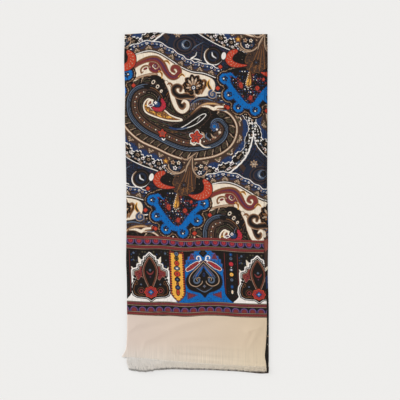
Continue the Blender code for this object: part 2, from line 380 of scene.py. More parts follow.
# %% Free the threads
THREADS = 860
THREAD_RADIUS = 0.29
THREAD_STEPS = 9
THREAD_ROOT = 0.6
THREAD_INSET = 0.6
Weft = namedtuple("Weft", "first last below")
LEFT_WEFT = (
    Weft(0.10, 0.40, 1.6), Weft(0.16, 0.36, 4.2), Weft(0.52, 0.97, 1.8), Weft(0.60, 0.99, 4.4),
    Weft(0.30, 0.76, 2.8), Weft(0.36, 0.60, 5.6), Weft(-0.033, 0.02, 0.3), Weft(-0.028, 0.04, 0.9),
    Weft(-0.018, 0.03, 1.6),
)
# The place near a tip that the weft threads take all along: painted shade, so that they read as dark lines
# across the fringe and as a dark edge under the loose corner.
WEFT_PAINTED_SHADE = 0.93
WEFT_STEPS = 60


def thread_paths(count, ends, lowest, seed):
    """Paths of loose threads from the fringe line to their ends: an array of threads, points and x, y, z."""
    chance = np.random.default_rng(seed)
    share = (np.arange(count) + chance.uniform(0, 1, count)) / count
    group = np.sin(share * 173 + 2 * np.sin(share * 61)) * 0.6
    start = line("fringe", share) + THREAD_ROOT
    scatter = chance.normal(0, 0.4, count)
    tip = line("tips", share) + ends + scatter + 0.9 * np.sin(share * 140) * chance.random(count)
    way = np.linspace(0, 1, THREAD_STEPS)
    y = start[:, None] + (tip - start)[:, None] * way
    left = read(ALONG, "y", "left", y)
    right = read(ALONG, "y", "right", y)
    lean = group + chance.normal(0, 0.5, count)
    x = left + THREAD_INSET + (right - left - 2 * THREAD_INSET) * share[:, None] + lean[:, None] * way**1.4
    x = x + 0.35 * np.sin(way * 5 + chance.uniform(0, 6, (count, 1))) * way
    start_z = top_height(x[:, :1], y[:, :1]) - 0.2
    settled = lowest + chance.uniform(0, 0.7, (count, 1))
    drop = np.clip(way * 1.6, 0, 1) ** 1.5
    z = start_z + (settled - start_z) * drop + 0.12 * np.sin(way * 4 + group[:, None] * 3)
    return np.stack([x, y, z], axis=-1)


def weft_paths():
    """Paths of the few weft threads that were left in the fringe, and lie across it near the cloth."""
    chance = np.random.default_rng(31)
    paths = []
    for weft in LEFT_WEFT:
        share = np.linspace(weft.first, weft.last, WEFT_STEPS)
        seed = chance.integers(99)
        waver = unevenness(share * PLAN_WIDTH, 0 * share, (31, 43, 17), 0.35, seed)
        y = line("fringe", share) - weft.below + waver
        left = read(ALONG, "y", "left", y)
        x = left + (read(ALONG, "y", "right", y) - left) * share
        paths.append(np.stack([x, y, top_height(x, y) + 0.1 - 0.16 * weft.below], axis=-1))
    return np.array(paths)


def thread_tubes(paths, radius, across):
    """The corners of three-sided tubes along many paths that run down the cloth, or across it."""
    angles = np.radians([90, 210, 330])
    flat = np.cos(angles) * radius
    ring = np.zeros((3, 3))
    ring[:, 1 if across else 0] = -flat if across else flat
    ring[:, 2] = np.sin(angles) * radius
    return (paths[:, :, None, :] + ring).reshape(-1, 3)


def thread_mesh(name, down, across):
    """Thin tubes down and across the fringe in one mesh, which keeps each one's shade and where it ends."""
    corners, faces, shades, ends = [], [], [], []
    chance = np.random.default_rng(8)
    for paths, is_across in ((down, False), (across, True)):
        count, steps = paths.shape[:2]
        index = np.arange(count * steps * 3).reshape(count, steps, 3) + sum(len(block) for block in corners)
        around = np.roll(index, -1, axis=2)
        quads = np.stack([index[:, :-1], around[:, :-1], around[:, 1:], index[:, 1:]], axis=-1).reshape(-1, 4)
        faces += [tuple(face) for face in quads.tolist() + index[:, -1].tolist()]
        corners.append(thread_tubes(paths, THREAD_RADIUS, is_across))
        shades.append(np.repeat(chance.uniform(0, 1, count), steps * 3))
        # Weft threads take one darkened place all along: painted shade.
        way = np.linspace(WEFT_PAINTED_SHADE if is_across else 0, WEFT_PAINTED_SHADE if is_across else 1, steps)
        ends.append(np.tile(np.repeat(way, 3), count))
    mesh = bpy.data.meshes.new(name)
    mesh.from_pydata(np.concatenate(corners) * MM, [], faces)
    mesh.shade_smooth()
    for attribute, blocks in (("thread_shade", shades), ("thread_end", ends)):
        mesh.attributes.new(attribute, "FLOAT", "POINT").data.foreach_set("value", np.concatenate(blocks))
    piece = bpy.data.objects.new(name, mesh)
    bpy.context.scene.collection.objects.link(piece)
    triangles = sum(len(face) - 2 for face in faces)
    print(name, len(down), "threads down and", len(across), "across,", triangles, "triangles")
    return piece


upper_threads = thread_paths(THREADS, ends=0.5, lowest=4.95, seed=11)
lower_threads = thread_paths(THREADS, ends=-0.8, lowest=4.7, seed=12)
fringe = thread_mesh("fringe", np.concatenate([upper_threads, lower_threads]), weft_paths())

# %% [markdown]
# ## The layers below
# The third that lies on the table is the same ply as the top one. It comes round the far fold, runs flat
# along the table and turns up at the near fold, where it laps over the layers inside. Those show only as
# the edges of their plies: at each side two soft lips, one above the other. A lip is a strip of cloth
# turned round its edge, and its flat parts end where the cover hides them.

# %% Lay the third on the table, and the edges of the hidden plies
TABLE_GAP = 0.06
NEAR_TOP = 4.5
NEAR_RADIUS = NEAR_TOP / 2
NEAR_LAP = 11.0
UNDER_WIDTH = 252.0
UNDER = dict(fold_radius=0.6, fold_back=6.0, hem_radius=0.5, hem_back=4.0)

under_columns = across_columns(UNDER_WIDTH, spacing=1.45, **UNDER)
under_fold = far_fold(under_columns, "under", np.linspace(0, -math.pi / 2, FOLD_STEPS + 1))


def under_flat(columns, spacing):
    """The flat rows on the table, with the faintest unevenness above it."""
    start = line("fold", columns.share) - FAR_RADIUS
    end = line("near", columns.share) + NEAR_RADIUS
    rows = math.ceil((start - end).max() / spacing)
    y = start + (end - start) * np.linspace(0, 1, rows + 1)[:, None]
    x = edge_x("under", columns, y)
    soft = 0.02 * (1 + np.tanh(unevenness(x, y, (31, 43, 57), height=1.0, seed=5)))
    return np.stack([x, y, soft + columns.depth], axis=-1)


def near_fold(columns):
    """Rows round the near fold, and back over the layers inside to the end of the lap."""
    turn = np.linspace(-math.pi / 2, math.pi / 2, 2 * FOLD_STEPS + 1)[:, None]
    radius = NEAR_RADIUS - columns.depth
    near = line("near", columns.share)
    y = near + NEAR_RADIUS - radius * np.cos(turn)
    z = NEAR_RADIUS + radius * np.sin(turn)
    lap = np.linspace(NEAR_RADIUS + 1.5, NEAR_LAP, 6)[:, None]
    y = np.concatenate([y, near + lap])
    z = np.concatenate([z, NEAR_TOP - columns.depth + 0 * lap])
    return np.stack([edge_x("under", columns, y), y, z], axis=-1)


def run_length(points):
    """How far each point lies along its column, measured on the cloth from the first row."""
    steps = np.linalg.norm(np.diff(points, axis=0), axis=-1)
    middle = np.median(steps, axis=1)
    return np.concatenate([[0], np.cumsum(middle)])


under_middle = under_flat(under_columns, spacing=1.5)
under_points = np.concatenate([under_fold[:-1], under_middle[:-1], near_fold(under_columns)])
under_points[..., 2] = np.maximum(under_points[..., 2], TABLE_GAP)
under = cloth_mesh("third_on_the_table", under_points)

LIP_SETBACKS = {"left": (0.0, 0.5), "right": (0.0, 1.4)}
INNER_LOW = 1.5
LIP_RADIUS = (NEAR_TOP - INNER_LOW) / 4
LIP_BACK = 16.0
LIP_SPACING = 2.2
LIP_ROWS = 420
LIP_SHORT = 2.5
LIP_CLEAR = 0.25


def lip_points(side, level, setback):
    """The edge of one hidden ply, turned round on itself: its lower half, its turn and its upper half."""
    way = np.linspace(0, 1, LIP_ROWS)[:, None]
    back = np.arange(LIP_BACK, LIP_RADIUS, -LIP_SPACING)
    angles = np.linspace(-math.pi / 2, math.pi / 2, 9)
    inset = np.concatenate([back, LIP_RADIUS * (1 - np.cos(angles)), back[::-1]])
    rise = np.concatenate([np.full(len(back), -1), np.sin(angles), np.full(len(back), 1)]) * LIP_RADIUS
    share = 0.0 if side == "left" else 1.0
    start = line("fold", share) - FAR_RADIUS - LIP_SHORT
    end = line("near", share) + NEAR_RADIUS + LIP_SHORT
    y = start + (end - start) * way
    waver = unevenness(y, 0 * y + 90 * level, (23, 37, 61), 0.35, 21 + level)
    inwards = 1 if side == "left" else -1
    x = read(ALONG, "y", "under_" + side, y) + inwards * (inset + setback + LIP_CLEAR + np.abs(waver))
    z = INNER_LOW + LIP_RADIUS * (2 * level + 1) + rise + 0 * y
    return np.stack([x, y + 0 * inset, z], axis=-1)


lips, lip_grids = [], []
for side, setbacks in LIP_SETBACKS.items():
    for level, setback in enumerate(setbacks):
        lip_grids.append(lip_points(side, level, setback))
        lips.append(cloth_mesh(f"hidden_ply_{side}_{level}", lip_grids[-1]))

# %% [markdown]
# ## Floor, light and camera
# The scarf lies on a pale, plain floor and is seen from straight above, through a long lens, as stock
# pictures of folded cloth are. Such pictures are taken on a board that glows a little, which all but
# lifts the shadow off it. The same is done here, for what the camera and a gloss can see, so that no more
# light falls on the silk. Two broad lights come from far off on both sides, and a pale room fills in.
# Their level is one at which a colour renders about as it is written.

# %% Set the floor, the lamps and the camera
GLOW_SHARE = 0.75


def floor_material():
    """Milky board, lit from below: nearly white, a little warm and matt, with a faint shadow on it."""
    material = bpy.data.materials.new("lit_milky_board")
    material.use_nodes = True
    tree = material.node_tree
    board = tree.nodes["Principled BSDF"]
    board.inputs["Base Color"].default_value = (*linear("f4f3f1"), 1)
    board.inputs["Roughness"].default_value = 0.95
    board.inputs["Specular IOR Level"].default_value = 0.1
    glow = add(tree, "Emission", {"Color": (*linear("efeeec"), 1), "Strength": 1.0})
    path = add(tree, "LightPath")
    rays = {0: path.outputs["Is Camera Ray"], 1: path.outputs["Is Glossy Ray"]}
    seen = add(tree, "Math", rays, operation="MAXIMUM")
    share = add(tree, "Math", {0: seen.outputs[0], 1: GLOW_SHARE}, operation="MULTIPLY")
    mixed = add(tree, "MixShader", {0: share.outputs[0], 1: board.outputs[0], 2: glow.outputs[0]})
    tree.links.new(mixed.outputs[0], tree.nodes["Material Output"].inputs["Surface"])
    return material


FLOOR_HALF = 4.0
floor_mesh = bpy.data.meshes.new("floor")
corners = [(FLOOR_HALF * x, FLOOR_HALF * y, 0) for x, y in ((-1, -1), (1, -1), (1, 1), (-1, 1))]
floor_mesh.from_pydata(corners, [], [(0, 1, 2, 3)])
floor_mesh.materials.append(floor_material())
floor = bpy.data.objects.new("floor", floor_mesh)
bpy.context.scene.collection.objects.link(floor)


def lamp(name, place, spread, strength, colour):
    """A broad studio light from far off, towards the scarf. Its spread, in degrees, softens the shadows."""
    light = bpy.data.lights.new(name, "SUN")
    light.angle = math.radians(spread)
    light.energy = strength
    light.color = linear(colour)
    holder = bpy.data.objects.new(name, light)
    holder.location = place
    holder.rotation_euler = (-Vector(place)).to_track_quat("-Z", "Y").to_euler()
    bpy.context.scene.collection.objects.link(holder)


lamp("key_from_the_left", (-2.0, 1.2, 1.3), spread=50, strength=3.0, colour="ffffff")
lamp("fill_from_the_right", (2.0, -1.0, 2.0), spread=60, strength=0.85, colour="fffdfa")

world = bpy.data.worlds.new("studio")
world.use_nodes = True
room = world.node_tree.nodes["Background"]
room.inputs["Color"].default_value = (*linear("f4f4f6"), 1)
room.inputs["Strength"].default_value = 0.33
bpy.context.scene.world = world

CAMERA_HEIGHT = 3.2
CAMERA_OVER = (8.5, 4.8)
SEEN_WIDTH = 0.708
SENSOR_WIDTH = 36
camera = bpy.data.cameras.new("camera")
camera.sensor_width = SENSOR_WIDTH
camera.lens = camera.sensor_width * (CAMERA_HEIGHT - PACK_HEIGHT * MM) / SEEN_WIDTH
camera_holder = bpy.data.objects.new("camera", camera)
camera_holder.location = (CAMERA_OVER[0] * MM, CAMERA_OVER[1] * MM, CAMERA_HEIGHT)
bpy.context.scene.collection.objects.link(camera_holder)
bpy.context.scene.camera = camera_holder
bpy.context.scene.view_settings.view_transform = "Standard"
print("lens", round(camera.lens, 1), "mm")

# %% [markdown]
# ## A printed silk: one screen for each ink
# The design is a traditional paisley in eighteen inks, of the kind once woven in shawls and now printed
# on scarves. A screen printer draws a stencil for each ink and prints one over the other. The same is
# done here: each ink has a screen that holds, at every point of the cloth, the distance in millimetres to
# the edge of its colour, below zero inside. A drawn shape is such a distance too. Laying it takes the
# lesser of the two on its own screen, and pushes every other ink back by its edge. Distances stay sharp
# between points a millimetre apart, where plain colours would blur.

# %% The inks, and a patch of cloth that they are laid on
INKS = dict(
    soot="1a1512",
    bark="43322a",
    moss="4c4832",
    midnight="222838",
    navy="24385f",
    azure="0766b0",
    slate="59677a",
    plum="54304a",
    orchid="84527c",
    wine="7b3230",
    rose="b52b3e",
    flame="bd3f28",
    brick="8a4a3f",
    copper="7d5230",
    ochre="ecae48",
    tan="b3967c",
    cream="ebddc8",
    white="ebe5de",
)
ORDER = list(INKS)
FAR_OFF = 40.0


class Patch:
    """A stretch of cloth in a motif's own millimetres: x across, y down, and the screens under it."""

    def __init__(self, x, y, screens, scale=1.0):
        self.x, self.y, self.screens, self.scale = x, y, screens, scale

    def lay(self, ink, edge):
        """Prints a shape in an ink, given the distance to its edge."""
        edge = edge * self.scale
        own = ORDER.index(ink)
        kept = np.minimum(self.screens[own], edge)
        np.maximum(self.screens, -edge, out=self.screens)
        self.screens[own] = kept

    def at(self, x, y, reach, turn=0, size=1.0):
        """The cloth within reach of a place, with the place as its centre, turned clockwise by degrees."""
        across, down = self.x - x, self.y - y
        near = np.maximum(abs(across), abs(down)) < reach
        rows = slice(*span(near.any(axis=1)))
        columns = slice(*span(near.any(axis=0)))
        across, down = across[rows, columns], down[rows, columns]
        across, down = rotated(across, down, turn)
        return Patch(across / size, down / size, self.screens[:, rows, columns], self.scale * size)

    def row(self, run, off, pitch, start=0.0):
        """The cloth as a row of equal patches along a line: run along the line, off away from it."""
        return Patch((run - start + pitch / 2) % pitch - pitch / 2, off, self.screens, self.scale)


def rotated(across, down, turn):
    """The same places, counted along axes that are turned clockwise by degrees."""
    cosine, sine = math.cos(math.radians(turn)), math.sin(math.radians(turn))
    return across * cosine + down * sine, down * cosine - across * sine


def span(marks):
    """The first marked place and the one after the last."""
    found = np.flatnonzero(marks)
    return (found[0], found[-1] + 1) if len(found) else (0, 0)


def blank_cloth(x, y):
    """A whole cloth in soot, ready for the other inks."""
    screens = np.full((len(ORDER), *x.shape), FAR_OFF, np.float32)
    screens[ORDER.index("soot")] = -FAR_OFF
    return Patch(x.astype(np.float32), y.astype(np.float32), screens)


# %% [markdown]
# ## A draughtsman's two tools
# Everything on a paisley is a line that swells and tapers, or an area within a smooth outline. Both are
# drawn through a few points. A shape that is given inks lays itself in each, one within the other. For
# each place of the cloth the tools know how far along a line it lies and on which side, so that rows of
# beads, rungs and petals can follow the line round its bends.

# %% Lines, areas and simple shapes, as distances
Trace = namedtuple("Trace", "away knot run side")


def nest(patch, edge, **inks):
    """Lays a shape in each of the inks, grown by so many millimetres, and gives its edge back."""
    for ink, grown in inks.items():
        patch.lay(ink, edge - grown)
    return edge


def smooth_points(points, closed, steps):
    """A smooth line through points: its corners, and for each the number of the point that it is at."""
    points = np.array(points, float)
    count = len(points)
    if closed:
        before, after, beyond = (np.roll(points, shift, axis=0) for shift in (1, -1, -2))
        start = points
    else:
        padded = np.concatenate([[2 * points[0] - points[1]], points, [2 * points[-1] - points[-2]]])
        before, start, after, beyond = padded[:-3], padded[1:-2], padded[2:-1], padded[3:]
    t = (np.arange(steps) / steps)[:, None, None]
    curve = start + 0.5 * t * (after - before)
    curve = curve + t**2 * (before - 2.5 * start + 2 * after - 0.5 * beyond)
    curve = curve + t**3 * 0.5 * (3 * start - before - 3 * after + beyond)
    corners = curve.transpose(1, 0, 2).reshape(-1, 2)
    knots = np.arange(len(corners)) / steps
    last = points[0] if closed else points[-1]
    return np.vstack([corners, last]), np.append(knots, float(count if closed else count - 1))


def trace(patch, points, closed=False, steps=5):
    """How each place of a patch lies to a line: away from it, at which point and run of it, on which side."""
    corners, knots = smooth_points(points, closed, steps)
    runs = np.append(0, np.cumsum(np.hypot(*np.diff(corners, axis=0).T)))
    away = np.full(patch.x.shape, 1e6, np.float32)
    knot, run, side = np.zeros_like(away), np.zeros_like(away), np.ones_like(away)
    for index in range(len(corners) - 1):
        (x0, y0), (x1, y1) = corners[index], corners[index + 1]
        dx, dy = x1 - x0, y1 - y0
        length = max(math.hypot(dx, dy), 1e-6)
        px, py = patch.x - x0, patch.y - y0
        part = np.clip((px * dx + py * dy) / length**2, 0, 1)
        gap = np.hypot(px - part * dx, py - part * dy)
        closer = gap < away
        away[closer] = gap[closer]
        knot[closer] = (knots[index] + part * (knots[index + 1] - knots[index]))[closer]
        run[closer] = (runs[index] + part * length)[closer]
        side[closer] = np.sign(dx * py - dy * px)[closer]
    return Trace(away, knot, run, side)


def stroke(patch, points, widths, **inks):
    """The edge of a line through points, with these widths spaced evenly along its points."""
    along = trace(patch, points)
    at = np.linspace(0, len(points) - 1, len(widths))
    return nest(patch, along.away - np.interp(along.knot, at, np.array(widths) / 2), **inks)


def area(patch, points, steps=5, **inks):
    """The edge of an area within a smooth outline, or a plain polygon if it takes one step to a point."""
    along = trace(patch, points, closed=True, steps=steps)
    corners, _ = smooth_points(points, True, steps)
    inside = np.zeros(patch.x.shape, bool)
    for (x0, y0), (x1, y1) in zip(corners, corners[1:]):
        if y0 != y1:
            crossing = (y0 > patch.y) != (y1 > patch.y)
            inside ^= crossing & (patch.x < x0 + (patch.y - y0) * (x1 - x0) / (y1 - y0))
    return nest(patch, np.where(inside, -along.away, along.away), **inks)


def disc(patch, x, y, radius, **inks):
    """The edge of a round spot."""
    return nest(patch, np.hypot(patch.x - x, patch.y - y) - radius, **inks)


def oval(patch, x, y, wide, high, turn=0, **inks):
    """The edge of an oval, turned clockwise by degrees, with half axes wide and high."""
    across, down = rotated(patch.x - x, patch.y - y, turn)
    return nest(patch, (np.hypot(across / wide, down / high) - 1) * min(wide, high), **inks)


def petals(patch, x, y, radius, count, depth=0.25, **inks):
    """The edge of a round flower with a number of petals, the first one pointing up."""
    dx, dy = patch.x - x, patch.y - y
    bulge = np.cos(count * np.arctan2(dx, -dy))
    return nest(patch, np.hypot(dx, dy) - radius * (1 - depth + depth * bulge), **inks)


def coil(x, y, outer, inner, start, turns):
    """Twelve points of a spiral inwards. It starts at an angle in degrees, clockwise from the right."""
    way = np.linspace(0, 1, 12)
    angle = np.radians(start + 360 * turns * way)
    radius = outer + (inner - outer) * way
    return list(zip(x + radius * np.cos(angle), y + radius * np.sin(angle)))


def band(off, low, high):
    """The edge of a band between two distances from a line."""
    return abs(off - (low + high) / 2) - (high - low) / 2


# %% [markdown]
# ## The repeat
# The motifs come again at every step of a slanted lattice: 263 mm across the cloth with a drop of 13, and
# 230 down it with a shift to the side. The slant is that of the cloth on its fold. Every motif below is
# drawn once, in the millimetres of one repeat, and laid wherever the lattice puts it on the cloth.

# %% The lattice
STEP_ACROSS = (263.0, 13.0)
STEP_DOWN = (135.0, 230.0)


def repeats(cloth, centre, reach):
    """The patches of a cloth where a motif about a centre falls, each in the repeat's own millimetres."""
    low_x, high_x, low_y, high_y = cloth.x.min(), cloth.x.max(), cloth.y.min(), cloth.y.max()
    patches = []
    for down in range(-5, 4):
        for across in range(-4, 6):
            x = across * STEP_ACROSS[0] + down * STEP_DOWN[0]
            y = across * STEP_ACROSS[1] + down * STEP_DOWN[1]
            fits_x = low_x - reach < centre[0] + x < high_x + reach
            fits_y = low_y - reach < centre[1] + y < high_y + reach
            if fits_x and fits_y:
                near = cloth.at(centre[0] + x, centre[1] + y, reach)
                patches.append(Patch(near.x + centre[0], near.y + centre[1], near.screens))
    return patches

# %% [markdown]
# ## The bands round the big paisley
# The big paisley is set off by bands that follow its long outer curve: a ladder, a cream line, brown and
# navy bands with little fans, a serrated white edge and a black band with small blossoms. Where the bands
# bend hard the blossoms give way to specks, which can't be stretched. Two neighbours meet in a dotted
# white line, so each place of the cloth takes its distance from the nearest two.

# %% Draw the bands
LONG_CURVE = [
    (56, 104), (41, 92), (21, 95), (8, 108), (4, 130), (11, 153), (36, 179), (75, 198),
    (115, 209), (152, 205), (176, 191), (184, 170), (176, 155), (163, 151), (153, 159), (155, 170),
]
FAN_PITCH = 17.6
BETWEEN_BENDS = (106, 294)
# Distances at which an ink lies outside its shape, and at which no shape along a line can reach.
WELL_CLEAR = 9
OUT_OF_REACH = 99
# Waves far finer than a square of dots, so that their fractions are as good as chance.
SCATTER = ((np.sin, 127.1, 311.7, 43758.5), (np.cos, 269.5, 183.3, 35741.3))


def sprinkle(patch, edge, pitch, size, inks, shift=0.0):
    """Scatters small dots over an area, one in each square of a pitch, in inks taken by chance."""
    column, rank = np.floor(patch.x / pitch), np.floor(patch.y / pitch)
    first, second = (
        np.modf(wave(column * right + rank * down + shift) * scale)[0] for wave, right, down, scale in SCATTER
    )
    across = patch.x - (column + 0.5 + 0.24 * first) * pitch
    below = patch.y - (rank + 0.5 + 0.24 * second) * pitch
    dot = np.maximum(np.hypot(across, below) - size * (0.75 + 0.35 * second), edge)
    names = inks.split()
    choice = ((first * 0.5 + 0.5) * len(names)).astype(int)
    for index, ink in enumerate(names):
        patch.lay(ink, np.where(choice == index, dot, WELL_CLEAR))


def nearest_curve(cloth, points, centre, reach):
    """How far off the nearest repeat of a line each place lies, how far off the next, and at which run."""
    ledger = Patch(cloth.x, cloth.y, np.full((3, *cloth.x.shape), OUT_OF_REACH, np.float32))
    for patch in repeats(ledger, centre, reach):
        along = trace(patch, points)
        off, second, run = patch.screens
        away = along.away * along.side
        closer = along.away < abs(off)
        second[:] = np.where(closer, off, np.where(along.away < abs(second), away, second))
        off[closer] = away[closer]
        run[closer] = along.run[closer]
    return ledger.screens


def small_fan(patch, out):
    """A little half-round fan that opens away from the line, on a brown scallop."""
    disc(patch, 0, out, 6.4, bark=0)
    patch.lay("tan", np.maximum(disc(patch, 0, out - 1.6, 4.9), out - 1.8 - patch.y))
    for turn in (-56, 0, 56):
        ray = patch.at(0, out - 1.6, 9, turn=turn)
        ray.lay("bark", np.maximum(abs(ray.x) - 0.55, 1.8 - ray.y))
    disc(patch, 0, out - 1.4, 1.6, moss=0)
    disc(patch, 0, out + 4.2, 0.9, cream=0)


def blossoms(cloth, run, off, pitch, radius, *rows):
    """Rows of tiny blossoms along a line. A row is its start, the inks of bloom and heart, and its place."""
    for start, ink, heart, out in rows:
        patch = cloth.row(run, off, pitch, start)
        patch.lay(ink, petals(patch, 0, out, radius, 5))
        patch.lay(heart, disc(patch, 0, out, radius * 0.38))


def ladder_band(cloth, off, run):
    """The ladder next to the paisley: dark ovals between slanted tan rungs."""
    cloth.lay("soot", band(off, -2, 13.5))
    cells = cloth.row(run + off * 0.45, off, 13.2)
    shell = oval(cells, 0, 6.4, 4.6, 5.4, bark=0, moss=-1.4, soot=-2.4)
    cells.lay("bark", shell + 3.2)
    cloth.lay("tan", np.maximum(abs(cells.x - 6.2 + 0.05 * off) - 0.8, band(off, 2.5, 12)))


def bands_round_paisley(cloth):
    """All the bands, from the rings of the dark ground outside them to the cream line at the paisley."""
    off, second, run = nearest_curve(cloth, LONG_CURVE, (95, 150), 170)
    rim = 52 - 7 * np.clip((run - 276) / 30, 0, 1) - 6 * np.clip((112 - run) / 30, 0, 1)
    cloth.lay("midnight", rim - off)
    rings = abs((off + run * 0.06) % 5.2 - 2.6) - 0.7
    cloth.lay("soot", np.maximum(rings, rim + 3 - off))
    sprinkle(cloth, rim + 2 - off, 4.8, 1.2, "navy soot plum bark midnight")
    ladder_band(cloth, off, run)
    cloth.lay("bark", band(off, 16, 25))
    cloth.lay("navy", band(off, 24, 40))
    sprinkle(cloth, band(off, 24, 40), 4.2, 1.2, "midnight navy slate soot navy", 5)
    small_fan(cloth.row(run, off, FAN_PITCH, 6), 22)

    straight = (run > BETWEEN_BENDS[0]) & (run < BETWEEN_BENDS[1])
    step = (run / FAN_PITCH) % 1
    notches = straight * 1.1 * np.sign(np.sin(run * 2 * math.pi / 5.87))
    serrated = 31 + 5.4 * abs(2 * step - 1) + notches - off
    cloth.lay("soot", np.maximum(serrated, off - rim))
    blossoms(
        cloth, run, np.where(straight, off, OUT_OF_REACH), FAN_PITCH, 2.8,
        (0, "white", "plum", 40.4), (8.8, "tan", "soot", 38.4), (4.4, "slate", "white", 44.6),
        (13.2, "white", "wine", 45), (8.8, "midnight", "tan", 45.6), (17, "tan", "midnight", 47.8),
    )
    round_bends = np.where(straight, WELL_CLEAR, np.maximum(36 - off, off - rim + 1))
    sprinkle(cloth, round_bends, 5.2, 2.3, "white white tan white slate", 9)
    sprinkle(cloth, round_bends, 5.2, 0.9, "soot wine navy", 9)

    cloth.lay("white", (abs(serrated) - np.where(straight, 0.9, 0.5)) / 1.4)
    dotted = abs(second - off) / 2 + 0.5 * np.sin(cloth.x * 1.3) * np.sin(cloth.y * 1.3) - 0.3
    cloth.lay("white", np.maximum(dotted, abs(off - 42) - 10))
    wide = 0.7 + 0.7 * np.clip((run - 230) / 60, 0, 1) * np.clip((330 - run) / 30, 0, 1)
    cloth.lay("white", abs(off - rim + 0.4) - wide)
    nest(cloth, band(off, 13.4, 16.8), copper=0.4, tan=-0.3, cream=-1.2)


# %% [markdown]
# ## The dark leaf
# Between the bands lies a dark blue leaf, with a night sky on it: an eye, a moon and a few white strokes.

# %% Draw the leaf
def dark_leaf(patch):
    """The night sky on the leaf: an eye in thin rings, a pale moon and a few white strokes."""
    oval(patch, 100, 20, 24, 17, 12, midnight=0)
    for wide, high, ink in ((19, 15, "bark"), (15.5, 12.5, "soot"), (12.5, 10.5, "bark")):
        patch.lay(ink, abs(oval(patch, 106, 21, wide, high)) - 0.7)
    eye = disc(patch, 108.5, 20, 8.4, slate=-0.2, soot=-1, midnight=-4.4)
    patch.lay("soot", eye + 6)
    glint = np.maximum(disc(patch, 108.5, 20, 6.4), -disc(patch, 110.4, 19.4, 6.2))
    nest(patch, glint, slate=0.6, white=-0.6)
    stroke(patch, [(119, 30), (126, 24), (140, 17)], [1, 1.8, 0.8], slate=0)
    stroke(patch, [(118, 45), (125, 41), (128, 34)], [2.6, 2.2, 0.8], white=0)
    stroke(patch, [(120, 46), (128, 47), (136, 50)], [1, 2.2, 1.4], white=0)
    petals(patch, 94, 1, 7, 7, bark=1.4, tan=0, soot=-2.2, cream=-3.8, wine=-5.2)

    disc(patch, 157, 41, 16.5, soot=0)
    patch.lay("tan", np.maximum(abs(disc(patch, 157, 41, 15)) - 0.7, patch.x - 149))
    moon = disc(patch, 157, 41, 13.4, bark=0, soot=-1.2, midnight=-3.4)
    patch.lay("soot", moon + 7)
    patch.lay("white", np.maximum(disc(patch, 157, 41.5, 16.6), -disc(patch, 158, 40, 16.2)))
    stroke(patch, [(155, 35), (156, 41), (162, 45)], [1, 2.4, 1], slate=0.7, white=0)
    for x, y, radius in (
        (64, 24, 2.2), (72, 28, 1.8), (83, 33, 2.6), (92, 36, 1.6), (138, 56, 2.6), (152, 62, 2.4),
    ):
        petals(patch, x, y, radius, 4, slate=0.6, white=0)


# %% [markdown]
# ## The cream ground
# A cream field with wine-red scrolls hangs over each big paisley. A dark line, a white line and a row of
# fans run along its top, and its lower end curls up like a fern inside the paisley.

# %% Draw the cream ground and the bands over it
UPPER_CURVE = [(15, 42), (40, 36.5), (60, 40), (80, 50), (100, 62.5), (120, 71.5), (140, 75), (160, 82)]
CREAM_GROUND = [
    (16, 42), (40, 37), (60, 40.5), (80, 50.5), (100, 63), (120, 72), (140, 76), (156, 83), (160, 95),
    (155, 107), (140, 113), (118, 112), (102, 112), (90, 112), (84, 110), (78.5, 99), (69.5, 82.5), (46, 74),
    (30, 79), (17, 85), (14, 74), (22, 58),
]
CREAM_FAN_PITCH = 19.5


def bands_over_cream(patch):
    """The lines, fans and blossoms along the top of the cream ground."""
    along = trace(patch, UPPER_CURVE)
    ends = np.maximum(1.0 - along.run, along.run - 158)
    off, run = -along.away * along.side, along.run
    patch.lay("navy", np.maximum(band(off, 0, 19.5), ends))
    sprinkle(patch, np.maximum(band(off, 9, 19), ends), 3.8, 1.2, "midnight navy slate soot", 5)
    patch.lay("bark", np.maximum(band(off, 0, 8.5), ends))
    off = np.where(ends < 0, off, OUT_OF_REACH)
    small_fan(patch.row(run, off, CREAM_FAN_PITCH, 9), 7.4)
    patch.lay("soot", np.maximum(abs(off - 13.4 - 1.6 * np.sin(run / 3.1)) - 0.8, ends))
    blossoms(
        patch, run, off, CREAM_FAN_PITCH, 2.5,
        (0, "slate", "white", 16), (6.5, "white", "plum", 16.6), (13, "tan", "soot", 15.6),
    )
    patch.lay("white", np.maximum(abs(off - 20.4 - np.sin(run / 3.1)) - 0.65, ends))
    patch.lay("soot", np.maximum(band(off, -1, 4), ends))
    patch.lay("white", np.maximum(band(off, 1.9, 3.3), ends))


def cream_ground(patch):
    """The cream field itself, the fern that its lower end curls into, and all its scrolls."""
    area(patch, CREAM_GROUND, tan=0.7, cream=0)
    heart = [(90, 104), (94, 114), (98, 123), (102, 129), (106, 125)]
    stroke(patch, heart, [5, 12, 15, 13, 6], tan=0, copper=-1, bark=-2.2, soot=-4.4)
    crook = [
        (74, 88), (81, 102), (85.5, 116), (90.5, 129), (96, 136.5), (103.5, 139), (111, 133), (111.5, 124),
        (105.5, 119.5), (101.5, 123.5),
    ]
    stroke(patch, crook, [5, 5.5, 7.5, 7, 6, 6, 6, 5.5, 4, 2], copper=1, cream=0)
    stroke(patch, [(17, 82), (31, 78), (46, 75.5), (58, 76)], [2, 3, 3, 1], copper=0.8, tan=-0.2)
    wine_arch(patch)
    small_scrolls(patch)
    palmette(patch.at(122, 96, 34, turn=-8, size=1.12))


